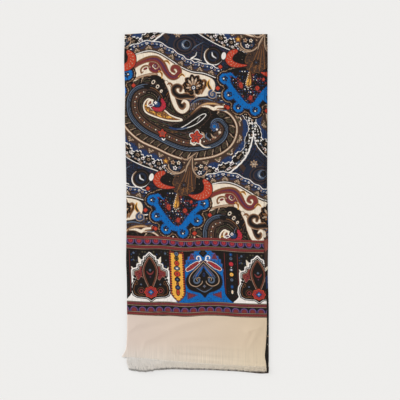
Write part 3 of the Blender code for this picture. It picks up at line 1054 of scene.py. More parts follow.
# %% Draw the scrolls on the cream ground
def wine_arch(patch):
    """The wine-red arch that ends in a coil at both sides, and the small leaves about it."""
    inner = [(64, 55), (63, 65), (55, 70), (47.5, 66), (46.5, 58), (52.5, 54.5), (58, 58), (56, 63), (53, 61)]
    stroke(patch, inner, [8, 7, 6.5, 6.5, 6, 5, 4, 3, 2], tan=1.5, copper=0.8, wine=0, plum=-2.6)
    disc(patch, 54.2, 61, 3.2, plum=0, tan=-2)
    arch = [
        (15, 61), (28, 53), (43, 48.5), (57, 49), (66, 56), (73, 68), (82, 77.5), (91, 77), (97, 69),
        (94.5, 61), (87.5, 60), (84, 65.5), (88, 69),
    ]
    widths = [4, 6.5, 8, 9.2, 10, 9.5, 8.5, 8, 7, 6, 5, 3.5, 2]
    edge = stroke(patch, arch, widths, tan=1.9, copper=1.1, wine=0, brick=-1.6)
    nest(patch, edge, wine=-2.2, plum=-3.2)
    stroke(patch, [(24, 52), (44, 45.6), (60, 46.6), (72, 58)], [0.8, 1.6, 1.6, 0.8], copper=0)
    curl = [(45, 63), (40, 60), (33, 61), (29, 66), (30, 72), (33, 70)]
    stroke(patch, curl, [1, 2.4, 2.6, 2.2, 1.8, 1], tan=0.7, copper=0)
    oval(patch, 37, 65, 4, 2.1, -20, wine=0)
    for leaf in (
        [(96, 77), (102, 73), (107, 77)], [(61, 70), (66, 74), (66, 82)], [(70, 51), (76, 51), (80, 56)],
    ):
        stroke(patch, leaf, [1.5, 3.4, 0.5], ochre=0.5, copper=-0.2)


def small_scrolls(patch):
    """The hook and the dark ring over the fern, and the scrolls at the right end of the ground."""
    stroke(patch, [(76, 92), (80, 89.5), (84, 93), (83, 101)], [1, 2.6, 3, 1.5], tan=0.7, copper=0)
    ring = [(121, 113), (109, 111), (98, 111.5), (89, 107), (87, 98.5), (93, 93.5), (100, 96), (99, 102)]
    stroke(patch, ring, [6, 8, 8, 7.5, 7, 6, 4.5, 2], tan=2, copper=1, bark=0, soot=-1.8)
    scroll = [(133, 87), (141, 85), (144, 91), (140, 99), (136, 108)]
    stroke(patch, scroll, [1, 4, 5.5, 4.5, 2], tan=1, copper=0, soot=-1.6)
    stroke(patch, [(150, 84), (148, 91), (151, 98), (156, 103)], [1, 4, 4.5, 1], ochre=0.7, bark=-0.4)
    stroke(patch, coil(156, 109, 7, 1.5, 250, -1.3), [4] * 8 + [2] * 4, tan=1, slate=0, navy=-1)
    oval(patch, 131, 105, 4, 5, 20, tan=1, copper=0, cream=-2.4)


def palmette(patch):
    """A dark blossom, open like a fan: long pale petals on a scalloped dark ground, above a ring."""
    side = [(118, 9, "copper"), (86, 12.5, "tan"), (56, 13.5, "copper"), (27, 15.5, "tan")]
    fan = [(-turn, reach, ink) for turn, reach, ink in side] + [(0, 17, "tan")] + side[::-1]
    petals(patch, 0, -3.5, 16.4, 9, 0.1, copper=1, soot=0)
    for turn, reach, _ in fan:
        leaf = patch.at(0, 0, 30, turn=turn)
        stroke(leaf, [(0, 0), (0, -reach * 0.7), (0, -reach)], [5, 8, 4], copper=1.6, soot=1)
    for turn, reach, ink in fan:
        leaf = patch.at(0, 0, 30, turn=turn)
        edge = stroke(leaf, [(0, -4), (0, -reach * 0.7), (0, -reach + 0.5)], [1.2, 3.9, 0.8])
        leaf.lay(ink, edge)
        leaf.lay("cream", edge + 1.3)
    ring = disc(patch, 0, 1, 3.2, soot=1, slate=0, white=-1)
    patch.lay("soot", ring + 2)
    stroke(patch, [(0, 5), (1, 12), (3, 18)], [1.4, 1.8, 1], tan=0)


# %% [markdown]
# ## Feathers under the scrolls
# A spray of slate-blue feathers and one long flame-coloured leaf lie between the scrolls and the paisley.

# %% Draw the feathers
def feathers(patch):
    """Five feathers side by side with short barbs, the long leaf under them, and a berry at its tip."""
    ground = stroke(patch, [(112, 134), (126, 122), (146, 116), (166, 118)], [14, 20, 18, 8])
    patch.lay("bark", ground)
    sprinkle(patch, ground, 4, 1.7, "navy midnight navy soot slate", 8)
    for lift, ink in enumerate(("slate", "soot", "navy", "copper", "slate")):
        feather = ((115, 131, 3), (126, 120, 2.4), (142, 117, 2.6), (156, 121, 2.4))
        points = [(x, y - rise * lift) for x, y, rise in feather]
        patch.lay(ink, stroke(patch, points, [1, 2.4, 2.4, 1]))
    for step in range(5):
        stroke(patch, [(117 + 3 * step, 136), (115 + 4 * step, 125)], [0.6, 1.2], tan=0)
    leaf = [(118, 144), (130, 133), (144, 126.5), (160, 126), (172, 129)]
    stroke(patch, leaf, [1.5, 4, 5, 5, 2], bark=1.4, copper=0, tan=-1, ochre=-2)
    pale = [(136, 131), (148, 131), (158, 135), (164, 131), (176, 131)]
    stroke(patch, pale, [1, 4, 5.5, 4, 3], copper=0.8, cream=0)
    disc(patch, 180, 131, 3.4, soot=1.4, flame=0, brick=-1.8)
    stroke(patch, [(168, 136), (175, 137.5), (183, 136.5)], [1, 2, 1], slate=0)


# %% [markdown]
# ## The big paisley itself
# The body is nearly black. Slate lines and a brown band with pearls follow the long curve inside its
# edge. In it lie a small golden paisley, a slim white leaf, and blossoms in crimson, flame and blue.

# %% Draw the body of the big paisley and its edge
PAISLEY = [
    (50, 77), (68, 83), (79, 104), (90, 130), (104, 139), (120, 137), (133, 133), (147, 130), (159, 140),
    (172, 152), (183, 168), (177, 191), (152, 206), (115, 209), (75, 198), (38, 180), (11, 155), (4, 125),
    (10, 103), (30, 90),
]
GOLDEN_PAISLEY = [
    (43, 119.5), (37.5, 123), (34.5, 131), (38, 141), (50, 148.5), (67, 153.5), (85, 155), (101, 153.5),
    (90, 150), (80, 146), (70, 139), (59, 142), (49, 138), (44.5, 131), (48.5, 125),
]
EDGE_LINES = (
    ("slate", 0, 1.7), ("soot", 1.7, 3.1), ("slate", 3.1, 4.1), ("midnight", 4.3, 5.4), ("slate", 5.5, 6.2),
    ("bark", 8.4, 19.6), ("copper", 9.6, 10.2), ("copper", 17.9, 18.5), ("bark", 21.6, 23.4),
    ("moss", 25.4, 26.2), ("bark", 28.2, 30.4), ("slate", 32.6, 33.1), ("bark", 35.2, 37.2),
)
PEARL_PITCH = 14.2


def paisley_rings(patch, edge, golden_edge):
    """The filling: thin rings round the golden paisley and the fern, with specks between them."""
    nearer = np.minimum(golden_edge, disc(patch, 103, 126, 12))
    for index in range(9):
        low = 3.4 + 4.1 * index
        ring = np.maximum(band(nearer, low, low + (2.4, 1.2, 0.5)[index % 3]), edge + 1)
        patch.lay(("bark", "moss", "tan", "bark", "copper", "slate")[index % 6], ring)
    sprinkle(patch, np.maximum(edge + 3, 5 - nearer), 4.6, 0.8, "bark soot copper moss")


def paisley_border(patch, edge):
    """The lines along the edge, tapered at both ends, and the pearls on the brown band among them."""
    along = trace(patch, LONG_CURVE)
    off, run = -along.away * along.side, along.run
    taper = np.clip((30 - run) / 18, 0, 1) * 4 + np.clip((run - 372) / 26, 0, 1) * 4
    body = np.maximum(np.maximum(edge, off - 40), 12 - run)
    patch.lay("soot", np.maximum(band(off, -2, 21) + taper, body))
    for ink, low, high in EDGE_LINES:
        patch.lay(ink, np.maximum(band(off, low, high) + taper / 4, body))
    off = np.where(np.maximum(body, run - 400) < 0, off, OUT_OF_REACH)
    sprinkle(patch, np.maximum(band(off, 9, 19), body), 2.6, 0.6, "copper soot moss brick")
    for start, ink, size in ((0, "cream", 1.2), (4.6, "brick", 1.3), (9.2, "copper", 1.5)):
        pearl = patch.row(run, off, PEARL_PITCH, start)
        pearl.lay(ink, disc(pearl, 0, PEARL_PITCH, size))
    stroke(patch, [(46, 90), (54, 84), (66, 96), (74, 116)], [4, 5, 7, 2], soot=0)
    for x, y, size in ((51, 89.5, 3.1), (58.5, 97.5, 2.9), (65, 105, 2.2)):
        oval(patch, x, y, size * 0.72, size, 34, tan=0.9, cream=0.4, soot=-0.6)


def big_paisley(patch):
    """The whole paisley: its dark body and its edge first, then all that lies in it."""
    edge, golden_edge = area(patch, PAISLEY), area(patch, GOLDEN_PAISLEY)
    patch.lay("soot", edge)
    paisley_rings(patch, edge, golden_edge)
    paisley_border(patch, edge)
    golden_paisley(patch, golden_edge)
    slim_leaf(patch)
    red_star(patch.at(127, 185, 24, turn=8))
    paisley_blossoms(patch)


# %% Draw what lies in the big paisley
def golden_paisley(patch, edge):
    """The small golden paisley in its cream line, with a crimson fan and two blossoms in its bow."""
    nest(patch, edge, soot=3.6, cream=2, copper=-0.5)
    sprinkle(patch, edge + 1.6, 2.3, 1.6, "ochre ochre copper ochre bark")
    stroke(patch, [(50, 122), (45, 121), (41, 126), (41, 132)], [2.4, 3, 2.4, 1], cream=0.3)
    oval(patch, 45.5, 127, 1.8, 2.8, 20, wine=0, copper=-1)
    fan = stroke(patch, [(66.5, 120), (69.5, 129), (65, 136.5), (56.5, 138), (49.5, 134.5)], [5, 8, 8, 7, 3])
    frilled = fan + 0.7 * np.sin(patch.x * 1.1) * np.cos(patch.y * 1.1)
    nest(patch, frilled, soot=1.2, wine=0.2, rose=-0.5, flame=-3.2)
    sprinkle(patch, fan + 1.4, 2.6, 1, "wine rose plum")
    oval(patch, 57, 128.5, 6.2, 5, 20, soot=1, navy=0, slate=-3.4)
    petals(patch, 55, 126, 3.2, 4, white=0, brick=-1.4)
    oval(patch, 47, 130.5, 4.6, 2, -10, white=0.4, plum=-0.5)
    stroke(patch, [(59, 123), (61, 117), (64, 112)], [1.2, 1.2, 0.6], slate=0)


def slim_leaf(patch):
    """The slim white leaf, on a dark and speckled one, with its stalks of navy and slate."""
    slim = [
        (98, 169.5), (113, 167), (129, 160.5), (141, 150.5), (144, 145), (138, 145), (126, 152), (112, 161),
    ]
    dark = [
        (84, 165), (104, 156), (124, 143), (140, 133), (150, 139), (150, 150), (134, 166), (112, 174),
        (92, 173),
    ]
    dark_edge = area(patch, dark, bark=1.4, soot=0)
    sprinkle(patch, dark_edge + 1.2, 3.4, 0.9, "bark soot midnight soot moss", 4)
    area(patch, slim, white=0.8, soot=-0.6)
    stroke(patch, [(80, 168), (92, 170), (110, 166.5)], [3.2, 3.4, 1.2], navy=0)
    stroke(patch, [(92, 170), (104, 169.5), (114, 165.5)], [1, 2, 1], slate=0)
    stroke(patch, [(128, 158), (134, 150)], [0.8, 1], white=0)


def red_star(patch):
    """A five-petalled flame blossom in a white outline, with cream leaves below."""
    petals(patch, 0, 0, 13.6, 5, 0.15, white=0, soot=-1.4, flame=-2.3, brick=-7)
    for turn in range(-144, 180, 72):
        vein = patch.at(0, 0, 20, turn=turn)
        oval(vein, 0, -6.6, 1, 3.6, wine=0)
        notch = patch.at(0, 0, 20, turn=turn + 36)
        oval(notch, 0, -8.4, 0.8, 2.4, soot=0)
    disc(patch, 0, 0, 2.6, wine=0.4, brick=-0.4)
    stroke(patch, [(-9, 11), (-2, 13.5), (2, 9.5)], [1.5, 3.2, 1.5], cream=0)


def paisley_blossoms(patch):
    """The flame and the blue blossom beside the star, with small stalks and pearls."""
    petals(patch, 67, 179.5, 7.6, 5, 0.2, soot=1.2, flame=0, brick=-2.2)
    stroke(patch, [(66, 188), (69, 191), (72, 188)], [1.2, 2.6, 1.2], white=0)
    stroke(patch, [(134, 189), (134, 197), (142, 203), (152, 203)], [1, 2.8, 2.4, 1], cream=0)
    stroke(patch, [(146, 178), (144, 184), (150, 190)], [1, 2.8, 2.4], slate=0)
    for stalk in ([(153, 179), (156, 184), (161, 186)], [(136, 176), (140, 180), (141, 186)]):
        stroke(patch, stalk, [1, 2.8, 2.4], tan=0)
    blue = petals(patch, 159.5, 166, 8, 7, 0.1, slate=0.6, navy=0)
    nest(patch, blue, slate=-2.4, navy=-4)
    disc(patch, 159, 166, 2.6, azure=0)
    disc(patch, 163.5, 171, 1.7, white=0)
    disc(patch, 168.5, 176, 2.2, tan=0.6, cream=-0.6)


# %% [markdown]
# ## The knot, its roundels and the trunk
# Below the paisley a knot of thin tan lines carries two roundels with pale flowers. A dark, feathery
# trunk grows out of it, and ends in the bouquet.

# %% Draw the knot and the trunk
TRUNK = [
    (119, 217), (122, 222), (122, 240), (126, 256), (125, 270), (120, 281), (111, 286.5), (101, 287),
    (91, 281), (86, 270), (88, 257), (98, 245), (110, 232),
]


def roundel(patch):
    """A dark bowl with pale flowers in it, hung from the knot by its tan rim."""
    edge = oval(patch, 0, 0, 13.5, 11.5, bark=1.6, soot=0, midnight=-2)
    patch.lay("soot", edge + 6)
    patch.lay("tan", np.maximum(abs(edge) - 0.9, -1 - patch.y))
    for x, y, size, ink, heart in (
        (-6, -5, 4.4, "tan", "copper"), (4, -6, 3.8, "cream", "copper"), (6.5, 2, 3.2, "slate", "copper"),
        (-1, 4, 4.2, "white", "plum"),
    ):
        patch.lay(ink, petals(patch, x, y, size, 5, 0.24))
        patch.lay(heart, disc(patch, x, y, size * 0.42))


def trunk(patch):
    """The trunk: a frilled dark outline, fourteen veins that spread to its foot, and a dark flower there."""
    edge = area(patch, TRUNK)
    angle = np.arctan2(patch.x - 118, patch.y - 214)
    frill = 1.3 * np.cos(angle * 38) * np.clip((patch.y - 250) / 25, 0, 1)
    nest(patch, edge + frill, soot=1.2, copper=0.3, bark=-0.5)
    sprinkle(patch, edge + 1.6, 2.6, 1.2, "soot soot bark copper soot")
    for index in range(14):
        foot = (87 + 3.0 * index, 275 + 10 * math.sin(math.pi * (index + 0.4) / 13.6))
        bend = (foot[0] * 0.42 + 68, 250)
        vein = stroke(patch, [(119, 219), bend, foot], [0.7, 1.4, 1.2])
        patch.lay(("bark", "bark", "copper")[index % 3], vein)
    petals(patch, 105, 268.5, 6, 9, 0.2, soot=0.4, bark=-1.4, midnight=-2.8)
    disc(patch, 105, 268.5, 0.9, slate=0)
    for index in range(9):
        spoke = patch.at(105, 270, 20, turn=-110 + 27.5 * index)
        spoke.lay("copper", np.maximum(abs(spoke.x) - 0.4, band(spoke.y, 6, 12.5)))


def knot_and_trunk(patch):
    """The roundels with a blossom beside each, the trunk, and over both the tan lines of the knot."""
    for x, y, wide, high in ((76, 262, 15, 12), (130, 270, 14, 15)):
        edge = oval(patch, x, y, wide, high)
        patch.lay("soot", edge)
        sprinkle(patch, edge + 2, 5.2, 0.8, "bark tan moss midnight")
    roundel(patch.at(91, 235, 22, turn=8))
    roundel(patch.at(133, 244, 22, turn=-16))
    petals(patch, 73, 228, 6, 5, 0.2, bark=1.4, copper=0, ochre=-2.6)
    petals(patch, 144, 240, 4, 5, 0.2, bark=1.4, tan=0, wine=-2)
    trunk(patch)
    for points in (
        [(120, 217), (114, 232), (104, 244), (92, 249), (80, 246), (72, 238)],
        [(121, 217), (120, 232), (122, 244), (129, 253), (138, 256)],
        [(119, 220), (111, 234), (108, 246)],
        [(100, 219), (108, 224), (119, 218), (128, 212)],
    ):
        stroke(patch, points, [1.2, 2.4, 1], bark=0.9, tan=0)


# %% [markdown]
# ## The bouquet
# The brightest part of the design is a bouquet, open like a peacock's fan: bright blue lobes, each with a
# frilled dark flower in it, a blue ribbon from lobe to lobe round a dark heart, and an ochre drop. Two
# flame-coloured crescents hold it from above. Lobes and ribbon are one shape, so that one outline runs
# round them all.

# %% Draw the bouquet
FAN = [
    (62, 284), (52, 290), (50, 302), (52, 314), (56, 327), (62, 337), (72, 345), (86, 351), (101, 355),
    (113, 344), (124, 338), (132, 325), (136, 315), (141, 304), (141, 292), (118, 293), (104, 286), (92, 280),
    (77, 281),
]
Lobe = namedtuple("Lobe", "x y radius look foot")
LOBES = (
    Lobe(49.5, 298, 9, 150, (60, 312)), Lobe(57.5, 326, 9.2, 120, (68, 325)),
    Lobe(73.5, 348, 8.8, 75, (79, 339)), Lobe(103.4, 352.6, 9.2, 60, (99, 344)),
    Lobe(128, 332, 9.6, 10, (114, 331)), Lobe(139.5, 303, 9.4, -40, (128, 314)),
)
RIBBON = [
    (57, 308), (61, 316), (70, 329), (83, 342.5), (95, 346.5), (105, 341.5), (111.5, 332.5), (123, 318),
    (133, 309),
]
LOBE_DOTS = (
    ("azure", -1.8, -1.6, 1.1), ("slate", 1.2, -2.6, 0.9), ("white", 1.6, 1, 1.4), ("navy", -2.2, 1.8, 1.2),
)


def blue_lobes(patch):
    """The lobes, each joined to the ribbon by its foot, with a frilled dark flower and four dots in each."""
    blue = [stroke(patch, RIBBON, [5, 8.5, 12, 10, 7.5, 8.5, 10.5, 8, 5])]
    for lobe in LOBES:
        blue.append(disc(patch, lobe.x, lobe.y, lobe.radius))
        blue.append(stroke(patch, [(lobe.x, lobe.y), lobe.foot], [lobe.radius * 1.2, 7]))
    blue.append(stroke(patch, [(51, 292), (60, 290), (68, 296)], [5, 4.5, 1]))
    ruffled = np.minimum.reduce(blue) + 1.2 * np.sin(patch.x * 1.2) * np.sin(patch.y * 1.2)
    nest(patch, ruffled, navy=1.1, azure=0)
    sprinkle(patch, ruffled + 1, 4.2, 1.1, "azure navy azure midnight azure slate", 7)
    for lobe in LOBES:
        flower = patch.at(lobe.x, lobe.y, 16, turn=lobe.look)
        petals(flower, -0.5, 0, 4.9, 5, 0.14, navy=0.8, soot=-0.2)
        for ink, x, y, size in LOBE_DOTS:
            flower.lay(ink, disc(flower, x, y, size))


def ochre_drop(patch):
    """The ochre drop in the heart of the bouquet, with a thread of cream pearls round it."""
    drop = [
        (94, 281), (95.5, 290), (97, 301), (95.5, 308.5), (90.5, 311), (86, 307.5), (88.5, 297), (92, 288),
    ]
    edge = area(patch, drop, soot=1.6, copper=0.4, ochre=-1.2)
    sprinkle(patch, edge + 0.8, 2.4, 1.1, "copper bark brick copper")
    along = trace(patch, [(93, 283), (90, 293), (87, 304), (87, 309), (91, 313), (96, 310)])
    pearls = patch.row(along.run, along.away * along.side, 3.4)
    disc(pearls, 0, 0, 0.9, cream=0)
    stroke(patch, [(94, 288), (93, 298), (92, 308)], [1, 1.8, 1.8], copper=0)


def bouquet(patch):
    """The fan in its brown and tan ring, with hundreds of specks and five red spots in its heart."""
    edge = area(patch, FAN)
    outline = np.minimum.reduce([edge, *(disc(patch, lobe.x, lobe.y, lobe.radius) for lobe in LOBES)])
    rim = outline - 0.5 * np.sin(patch.x * 0.9) * np.sin(patch.y * 0.9)
    nest(patch, rim, soot=7, copper=5.2, tan=4.4, bark=3.7)
    patch.lay("soot", rim - 2.6)
    sprinkle(patch, band(rim, 3.2, 5.8), 2.9, 1.1, "soot tan bark moss soot", 1)
    heart = np.maximum(edge + 2, np.hypot(patch.x - 94, patch.y - 300) - 42)
    sprinkle(patch, heart, 4.4, 1.9, "navy soot plum navy wine midnight")
    sprinkle(patch, heart, 5.2, 1, "slate white azure rose navy tan", 3)
    blue_lobes(patch)
    for x, y, wide, high, turn in (
        (78, 309, 3.6, 6, -14), (107, 314, 4, 4.2, 10), (95, 331, 3.4, 4.8, 0), (100, 287, 2.6, 4, 30),
        (118, 299, 2.6, 3.4, 0),
    ):
        spot = oval(patch, x, y, wide, high, turn) + 1.1 * np.sin(patch.x * 1.9) * np.sin(patch.y * 1.7)
        nest(patch, spot, soot=1, wine=0.2, flame=-0.9)
        patch.lay("wine", spot + 2.6)
    ochre_drop(patch)


def crescents(patch):
    """Two flame-coloured crescents with pearls, a white bud, and round berries at the bouquet's rim."""
    left = [(69, 249), (61, 253.5), (56.5, 263), (62, 271), (74, 274), (88, 273.5)]
    right = [(142, 263), (147.5, 272), (146.5, 283), (137, 290), (125, 290.5), (114, 286.5)]
    for points, widths in ((left, [7, 11, 12.5, 11, 7, 2]), (right, [7.5, 14, 16, 13.5, 8.5, 2])):
        along = trace(patch, points)
        edge = along.away - np.interp(along.knot, np.arange(len(widths)), np.array(widths) / 2)
        nest(patch, edge, soot=1.2, wine=0.3, flame=-0.5)
        for start, shift, size in ((0, -2.5, 1.05), (2.7, 2.3, 0.9), (4, 0, 0.7)):
            dots = patch.row(along.run, along.away * along.side, 5.4, start)
            dots.lay("tan", np.maximum(disc(dots, 0, shift, size), edge + 1.2))
    oval(patch, 47.5, 257.5, 4, 6.6, 12, soot=0.8, white=0)
    for x, y, radius in ((41.5, 277, 3.6), (37, 315, 3.8), (55, 349, 3.6), (124, 355, 4), (151, 323, 3.6)):
        petals(patch, x, y, radius, 4, 0.12, soot=1.6, wine=0.6, flame=-0.4)


# %% [markdown]
# ## Lay the whole field
# The order is the printer's: grounds first, then what lies on them.

# %% Print a cloth with the field's design
FIELD_MOTIFS = (
    (dark_leaf, (118, 32), 62),
    (bands_over_cream, (88, 55), 84),
    (big_paisley, (94, 143), 98),
    (feathers, (150, 126), 42),
    (cream_ground, (88, 90), 84),
    (bouquet, (96, 305), 70),
    (knot_and_trunk, (108, 250), 52),
    (crescents, (101, 300), 68),
)


def print_field(cloth):
    """The field's design on a cloth. Each motif has a centre and a reach in the repeat's own millimetres."""
    bands_round_paisley(cloth)
    for motif, centre, reach in FIELD_MOTIFS:
        for patch in repeats(cloth, centre, reach):
            motif(patch)

# %% [markdown]
# ## The border
# Below the field comes a border of niches, as at the end of a shawl: a niche with a dark sky, a yellow
# column, a blue niche and a black column, every 191 mm. Brick-red stripes and rows of little cups close
# it above and below. It stands square to its own seam, which lies a little aslant on the cloth. A niche
# is the same at its left and its right, so most of it is drawn once, on a patch that is folded on the
# middle line.

# %% Place the border, and draw its stripes, cups and strings of marks
BORDER_DEEP = 141.0
BORDER_LEAN = 0.045


def from_fold(name, u):
    """How far a line across the scarf lies from the far fold, at places u across the design."""
    share = np.clip(u / PLAN_WIDTH, 0, 1)
    return line("fold", share) + PLAN_TOP - line(name, share)


def mirrored(half):
    """A whole outline from its right half, which starts and ends on the middle line."""
    return half + [(-x, y) for x, y in half[::-1] if x > 0]


def folded(patch):
    """A patch folded on its middle line: what is drawn at the right of it stands at the left as well."""
    return Patch(abs(patch.x), patch.y, patch.screens, patch.scale)


def stripe(patch, low, high, core):
    """A red stripe with a core of one ink, between two lines of tan and brown."""
    edge = band(patch.y, low, high)
    nest(patch, edge, soot=0.5, bark=0, tan=-0.4)
    nest(patch, edge, bark=-1, soot=-1.6, wine=-2)
    patch.lay(core, edge + 2.6)
    patch.lay("wine", edge + 3.2)
    ticks = patch.row(patch.x, patch.y, 5.2)
    oval(ticks, 0, (low + high) / 2, 1.1, 1, wine=0)


def cups(patch, level, start, heart):
    """A row of little cups, each an orchid shell with a heart in another ink."""
    cup = patch.row(patch.x, patch.y, 15, start)
    shell = oval(cup, 0, level, 6.2, 6.2, navy=1, orchid=0, plum=-0.8, wine=-2.2)
    cup.lay(heart, shell + 3.4)
    cup.lay("wine", shell + 4.8)


def axis(patch, marks):
    """Marks down the middle of a column. Each is an ink, a place, half axes and the ink of its heart."""
    for ink, down, wide, high, heart in marks:
        edge = oval(patch, 0, down, wide, high)
        patch.lay("soot", edge - 1)
        patch.lay(ink, edge)
        patch.lay(heart, oval(patch, 0, down, wide * 0.4, high * 0.4))


# %% Draw the niche with a dark sky
MANDORLA = mirrored([(0, 40), (4.4, 46), (7.6, 52), (9.8, 60), (9.2, 68), (6.6, 77), (3.6, 84), (0, 92)])


def stepped_gable():
    """The outline of the niche: a gable of four steps, on a body that draws in to a point at its foot."""
    half = [(0, 31), (6, 37)]
    for wide, low in ((9.2, 37.6), (14.2, 44), (21.2, 51.2), (30.5, 60.6)):
        half += [(wide - 0.5, low), (wide, low + 6.4)]
    return mirrored(half + [
        (30.6, 70), (27, 74.5), (29.5, 80), (33.5, 87), (35, 96), (32.5, 105), (25, 109), (8, 110),
        (0, 115.5),
    ])


def mandorla(patch):
    """The pointed oval in the niche, in thin rings, with a small star, a bowl and a bead in it."""
    edge = area(patch, MANDORLA, 3, soot=5, tan=3.4, bark=2.8, wine=2.2)
    nest(patch, edge, soot=1.3, copper=0.8)
    patch.lay("soot", edge - 0.1)
    petals(patch, 0, 60, 2.4, 4, slate=0)
    stroke(patch, [(-6, 62), (-3, 66), (0, 67), (3, 66), (6, 62)], [1.2, 2.6, 3.4, 2.6, 1.2], wine=0)
    disc(patch, 0, 72, 1.4, plum=0)


def sky_niche(patch):
    """A niche with a dark, starry sky over its white gable, a mandorla in it and a rosette at its foot."""
    half = folded(patch)
    sky = np.maximum(np.maximum(half.x - 34, band(patch.y, 25, 116)), patch.y - 60)
    patch.lay("soot", sky)
    sprinkle(patch, sky + 1, 5, 1.7, "midnight soot moss navy soot")
    petals(half, 28, 30, 2.2, 5, midnight=0.8, slate=0)
    disc(half, 29, 42, 1, slate=0)
    edge = area(patch, stepped_gable(), 1)
    for x, y in ((20, 37.5), (33, 55.5)):
        stroke(half, [(x * 0.84, y + 7), (x, y - 1)], [7, 0.8], cream=0)
    nest(patch, edge, white=3, soot=0.8)
    nest(patch, edge, white=-0.6, soot=-1.4)
    patch.lay("copper", np.maximum(abs(edge + 4.6) - 0.4, 80 - patch.y))
    inner = np.maximum(edge + 2.8, patch.y - 75 - 3 * np.sin(patch.x * 0.5))
    nest(patch, inner, tan=0, wine=-0.6)
    sprinkle(patch, inner + 2, 3.4, 1.1, "brick plum soot wine")
    mandorla(patch)

    roundel_edge = disc(half, 17, 97, 6.4, copper=0, soot=-0.7, wine=-2.6)
    half.lay("soot", roundel_edge + 4.4)
    petals(half, 17, 85.5, 1.9, 4, slate=0)
    half.lay("copper", abs(disc(half, 26, 83, 3.4)) - 0.3)
    for x, y in ((27.5, 72), (29, 77)):
        disc(half, x, y, 2.2, soot=0)
    rosette = petals(Patch(patch.x, (patch.y - 99) * 1.16, patch.screens), 0, 0, 12.4, 8, 0.07)
    nest(patch, rosette, soot=0.8, flame=-0.2, wine=-1.9, rose=-3.6)
    patch.lay("wine", rosette + 5)
    petals(patch, 0, 99, 4.6, 4, 0.2, soot=0.6, azure=-0.4, slate=-2.2, white=-3.4)


# %% Draw the two columns
TOOTH_PITCH = 4.3
YELLOW_MARKS = (
    ("slate", 28.5, 3.4, 3.6, "navy"), ("moss", 36.5, 3.2, 3.2, "soot"), ("flame", 45.5, 3.8, 4, "wine"),
    ("slate", 54.5, 4.4, 3.2, "white"), ("flame", 64.5, 4.8, 4.4, "wine"),
    ("midnight", 74.5, 4, 3.6, "slate"), ("brick", 82, 1.8, 2.2, "soot"), ("navy", 89, 3.8, 3.4, "slate"),
    ("flame", 97.5, 2.6, 4.6, "wine"),
)
BLACK_MARKS = (
    ("navy", 28.5, 3, 3.4, "azure"), ("slate", 35.8, 2.6, 2.6, "soot"), ("rose", 45.5, 3.8, 3.8, "flame"),
    ("white", 51.6, 1, 1, "slate"), ("slate", 56, 3, 2.4, "white"), ("ochre", 64.5, 3.2, 3.2, "tan"),
    ("slate", 74, 2.6, 2.6, "bark"), ("navy", 86.5, 2.8, 3.6, "azure"), ("cream", 96, 1.7, 3.6, "ochre"),
)


def column_edge(patch, half, top):
    """The edge of a column whose foot is round and ends in a point."""
    foot = 1 - np.clip((patch.y - 96) / 19, 0, 1) ** 2
    return np.maximum(abs(patch.x) - half * foot, band(patch.y, top, 116))


def yellow_column(patch):
    """A yellow column with a red outline and teeth in two inks down both of its edges."""
    edge = column_edge(patch, 13.6, 25)
    nest(patch, edge, soot=0.4, wine=-0.5, flame=-1.4, bark=-1.9)
    patch.lay("ochre", edge + 3.3 + 1.1 * np.sin(patch.y * 2 * math.pi / TOOTH_PITCH))
    for start, reach, ink in ((1.05, 11.7, "soot"), (3.2, 10.7, "flame")):
        tooth = Patch(abs(patch.x), (patch.y - start + 2.15) % TOOTH_PITCH - 2.15, patch.screens)
        tooth.lay(ink, np.maximum(disc(tooth, reach, 0, 0.9), patch.y - 97))
    sprinkle(patch, edge + 4.6, 3.6, 0.6, "copper flame copper soot", 1)
    axis(patch, YELLOW_MARKS)


def black_column(patch):
    """A black column with a thin wine-red line inside its edge."""
    edge = column_edge(patch, 13.4, 23.5)
    patch.lay("soot", edge)
    patch.lay("wine", np.maximum(abs(edge + 2) - 0.4, band(patch.y, 26, 100)))
    sprinkle(patch, edge + 4, 4.6, 0.7, "midnight wine midnight moss", 2)
    axis(patch, BLACK_MARKS)


# %% Draw the blue niche
DOME = mirrored([
    (0, 23), (12, 24), (20, 28.5), (28, 36.5), (32, 46), (34, 60), (34, 113), (18, 115), (0, 115),
])
SKIRT = mirrored([(0, 88), (34, 89), (36, 99), (40, 105), (46, 111), (48.5, 116), (0, 116)])
SPADE = mirrored([
    (0, 41), (9, 52), (21.5, 60.5), (30, 69.5), (32, 80), (28, 90), (18, 96), (9, 99), (4, 103), (0, 108),
])
CORE = mirrored([(0, 54), (4, 62), (8, 69), (5, 75), (2, 80), (0, 82)])


def niche_crown(patch, half):
    """What crowns the dome: a dark lozenge, two red leaves, two white curls, and peaks and wings of plum."""
    lozenge = half.x + abs(patch.y - 28) * 0.9 - 7.5
    nest(patch, lozenge, soot=0, bark=-4.4)
    patch.lay("soot", lozenge + 5.6)
    blade = [(2, 42), (12, 46), (21, 51.5), (28.5, 56)]
    leaf = stroke(half, blade, [2, 7, 9, 6.5], soot=0.9, white=0.4, wine=-0.5)
    sprinkle(patch, leaf + 1.6, 2.2, 1.3, "rose wine flame rose")
    half.lay("white", np.maximum(abs(disc(half, 8.3, 36.5, 3.4)) - 0.9, patch.y - 39))
    stroke(half, [(4.9, 36), (4.2, 40), (8, 44)], [1.6, 2, 1.2], white=0)
    peak = np.maximum(band(patch.y, 29, 38), abs(half.x - 20) - 0.6 - 0.45 * (patch.y - 29))
    nest(half, peak, orchid=0.8, plum=0.2, wine=-1.4)
    wing = np.maximum(band(half.x, 11, 31), abs(patch.y - 103) - 0.37 * (half.x - 11))
    nest(half, wing + 0.7 * np.sin(patch.x * 1.5) + 0.6, plum=0.2, wine=-1.7)


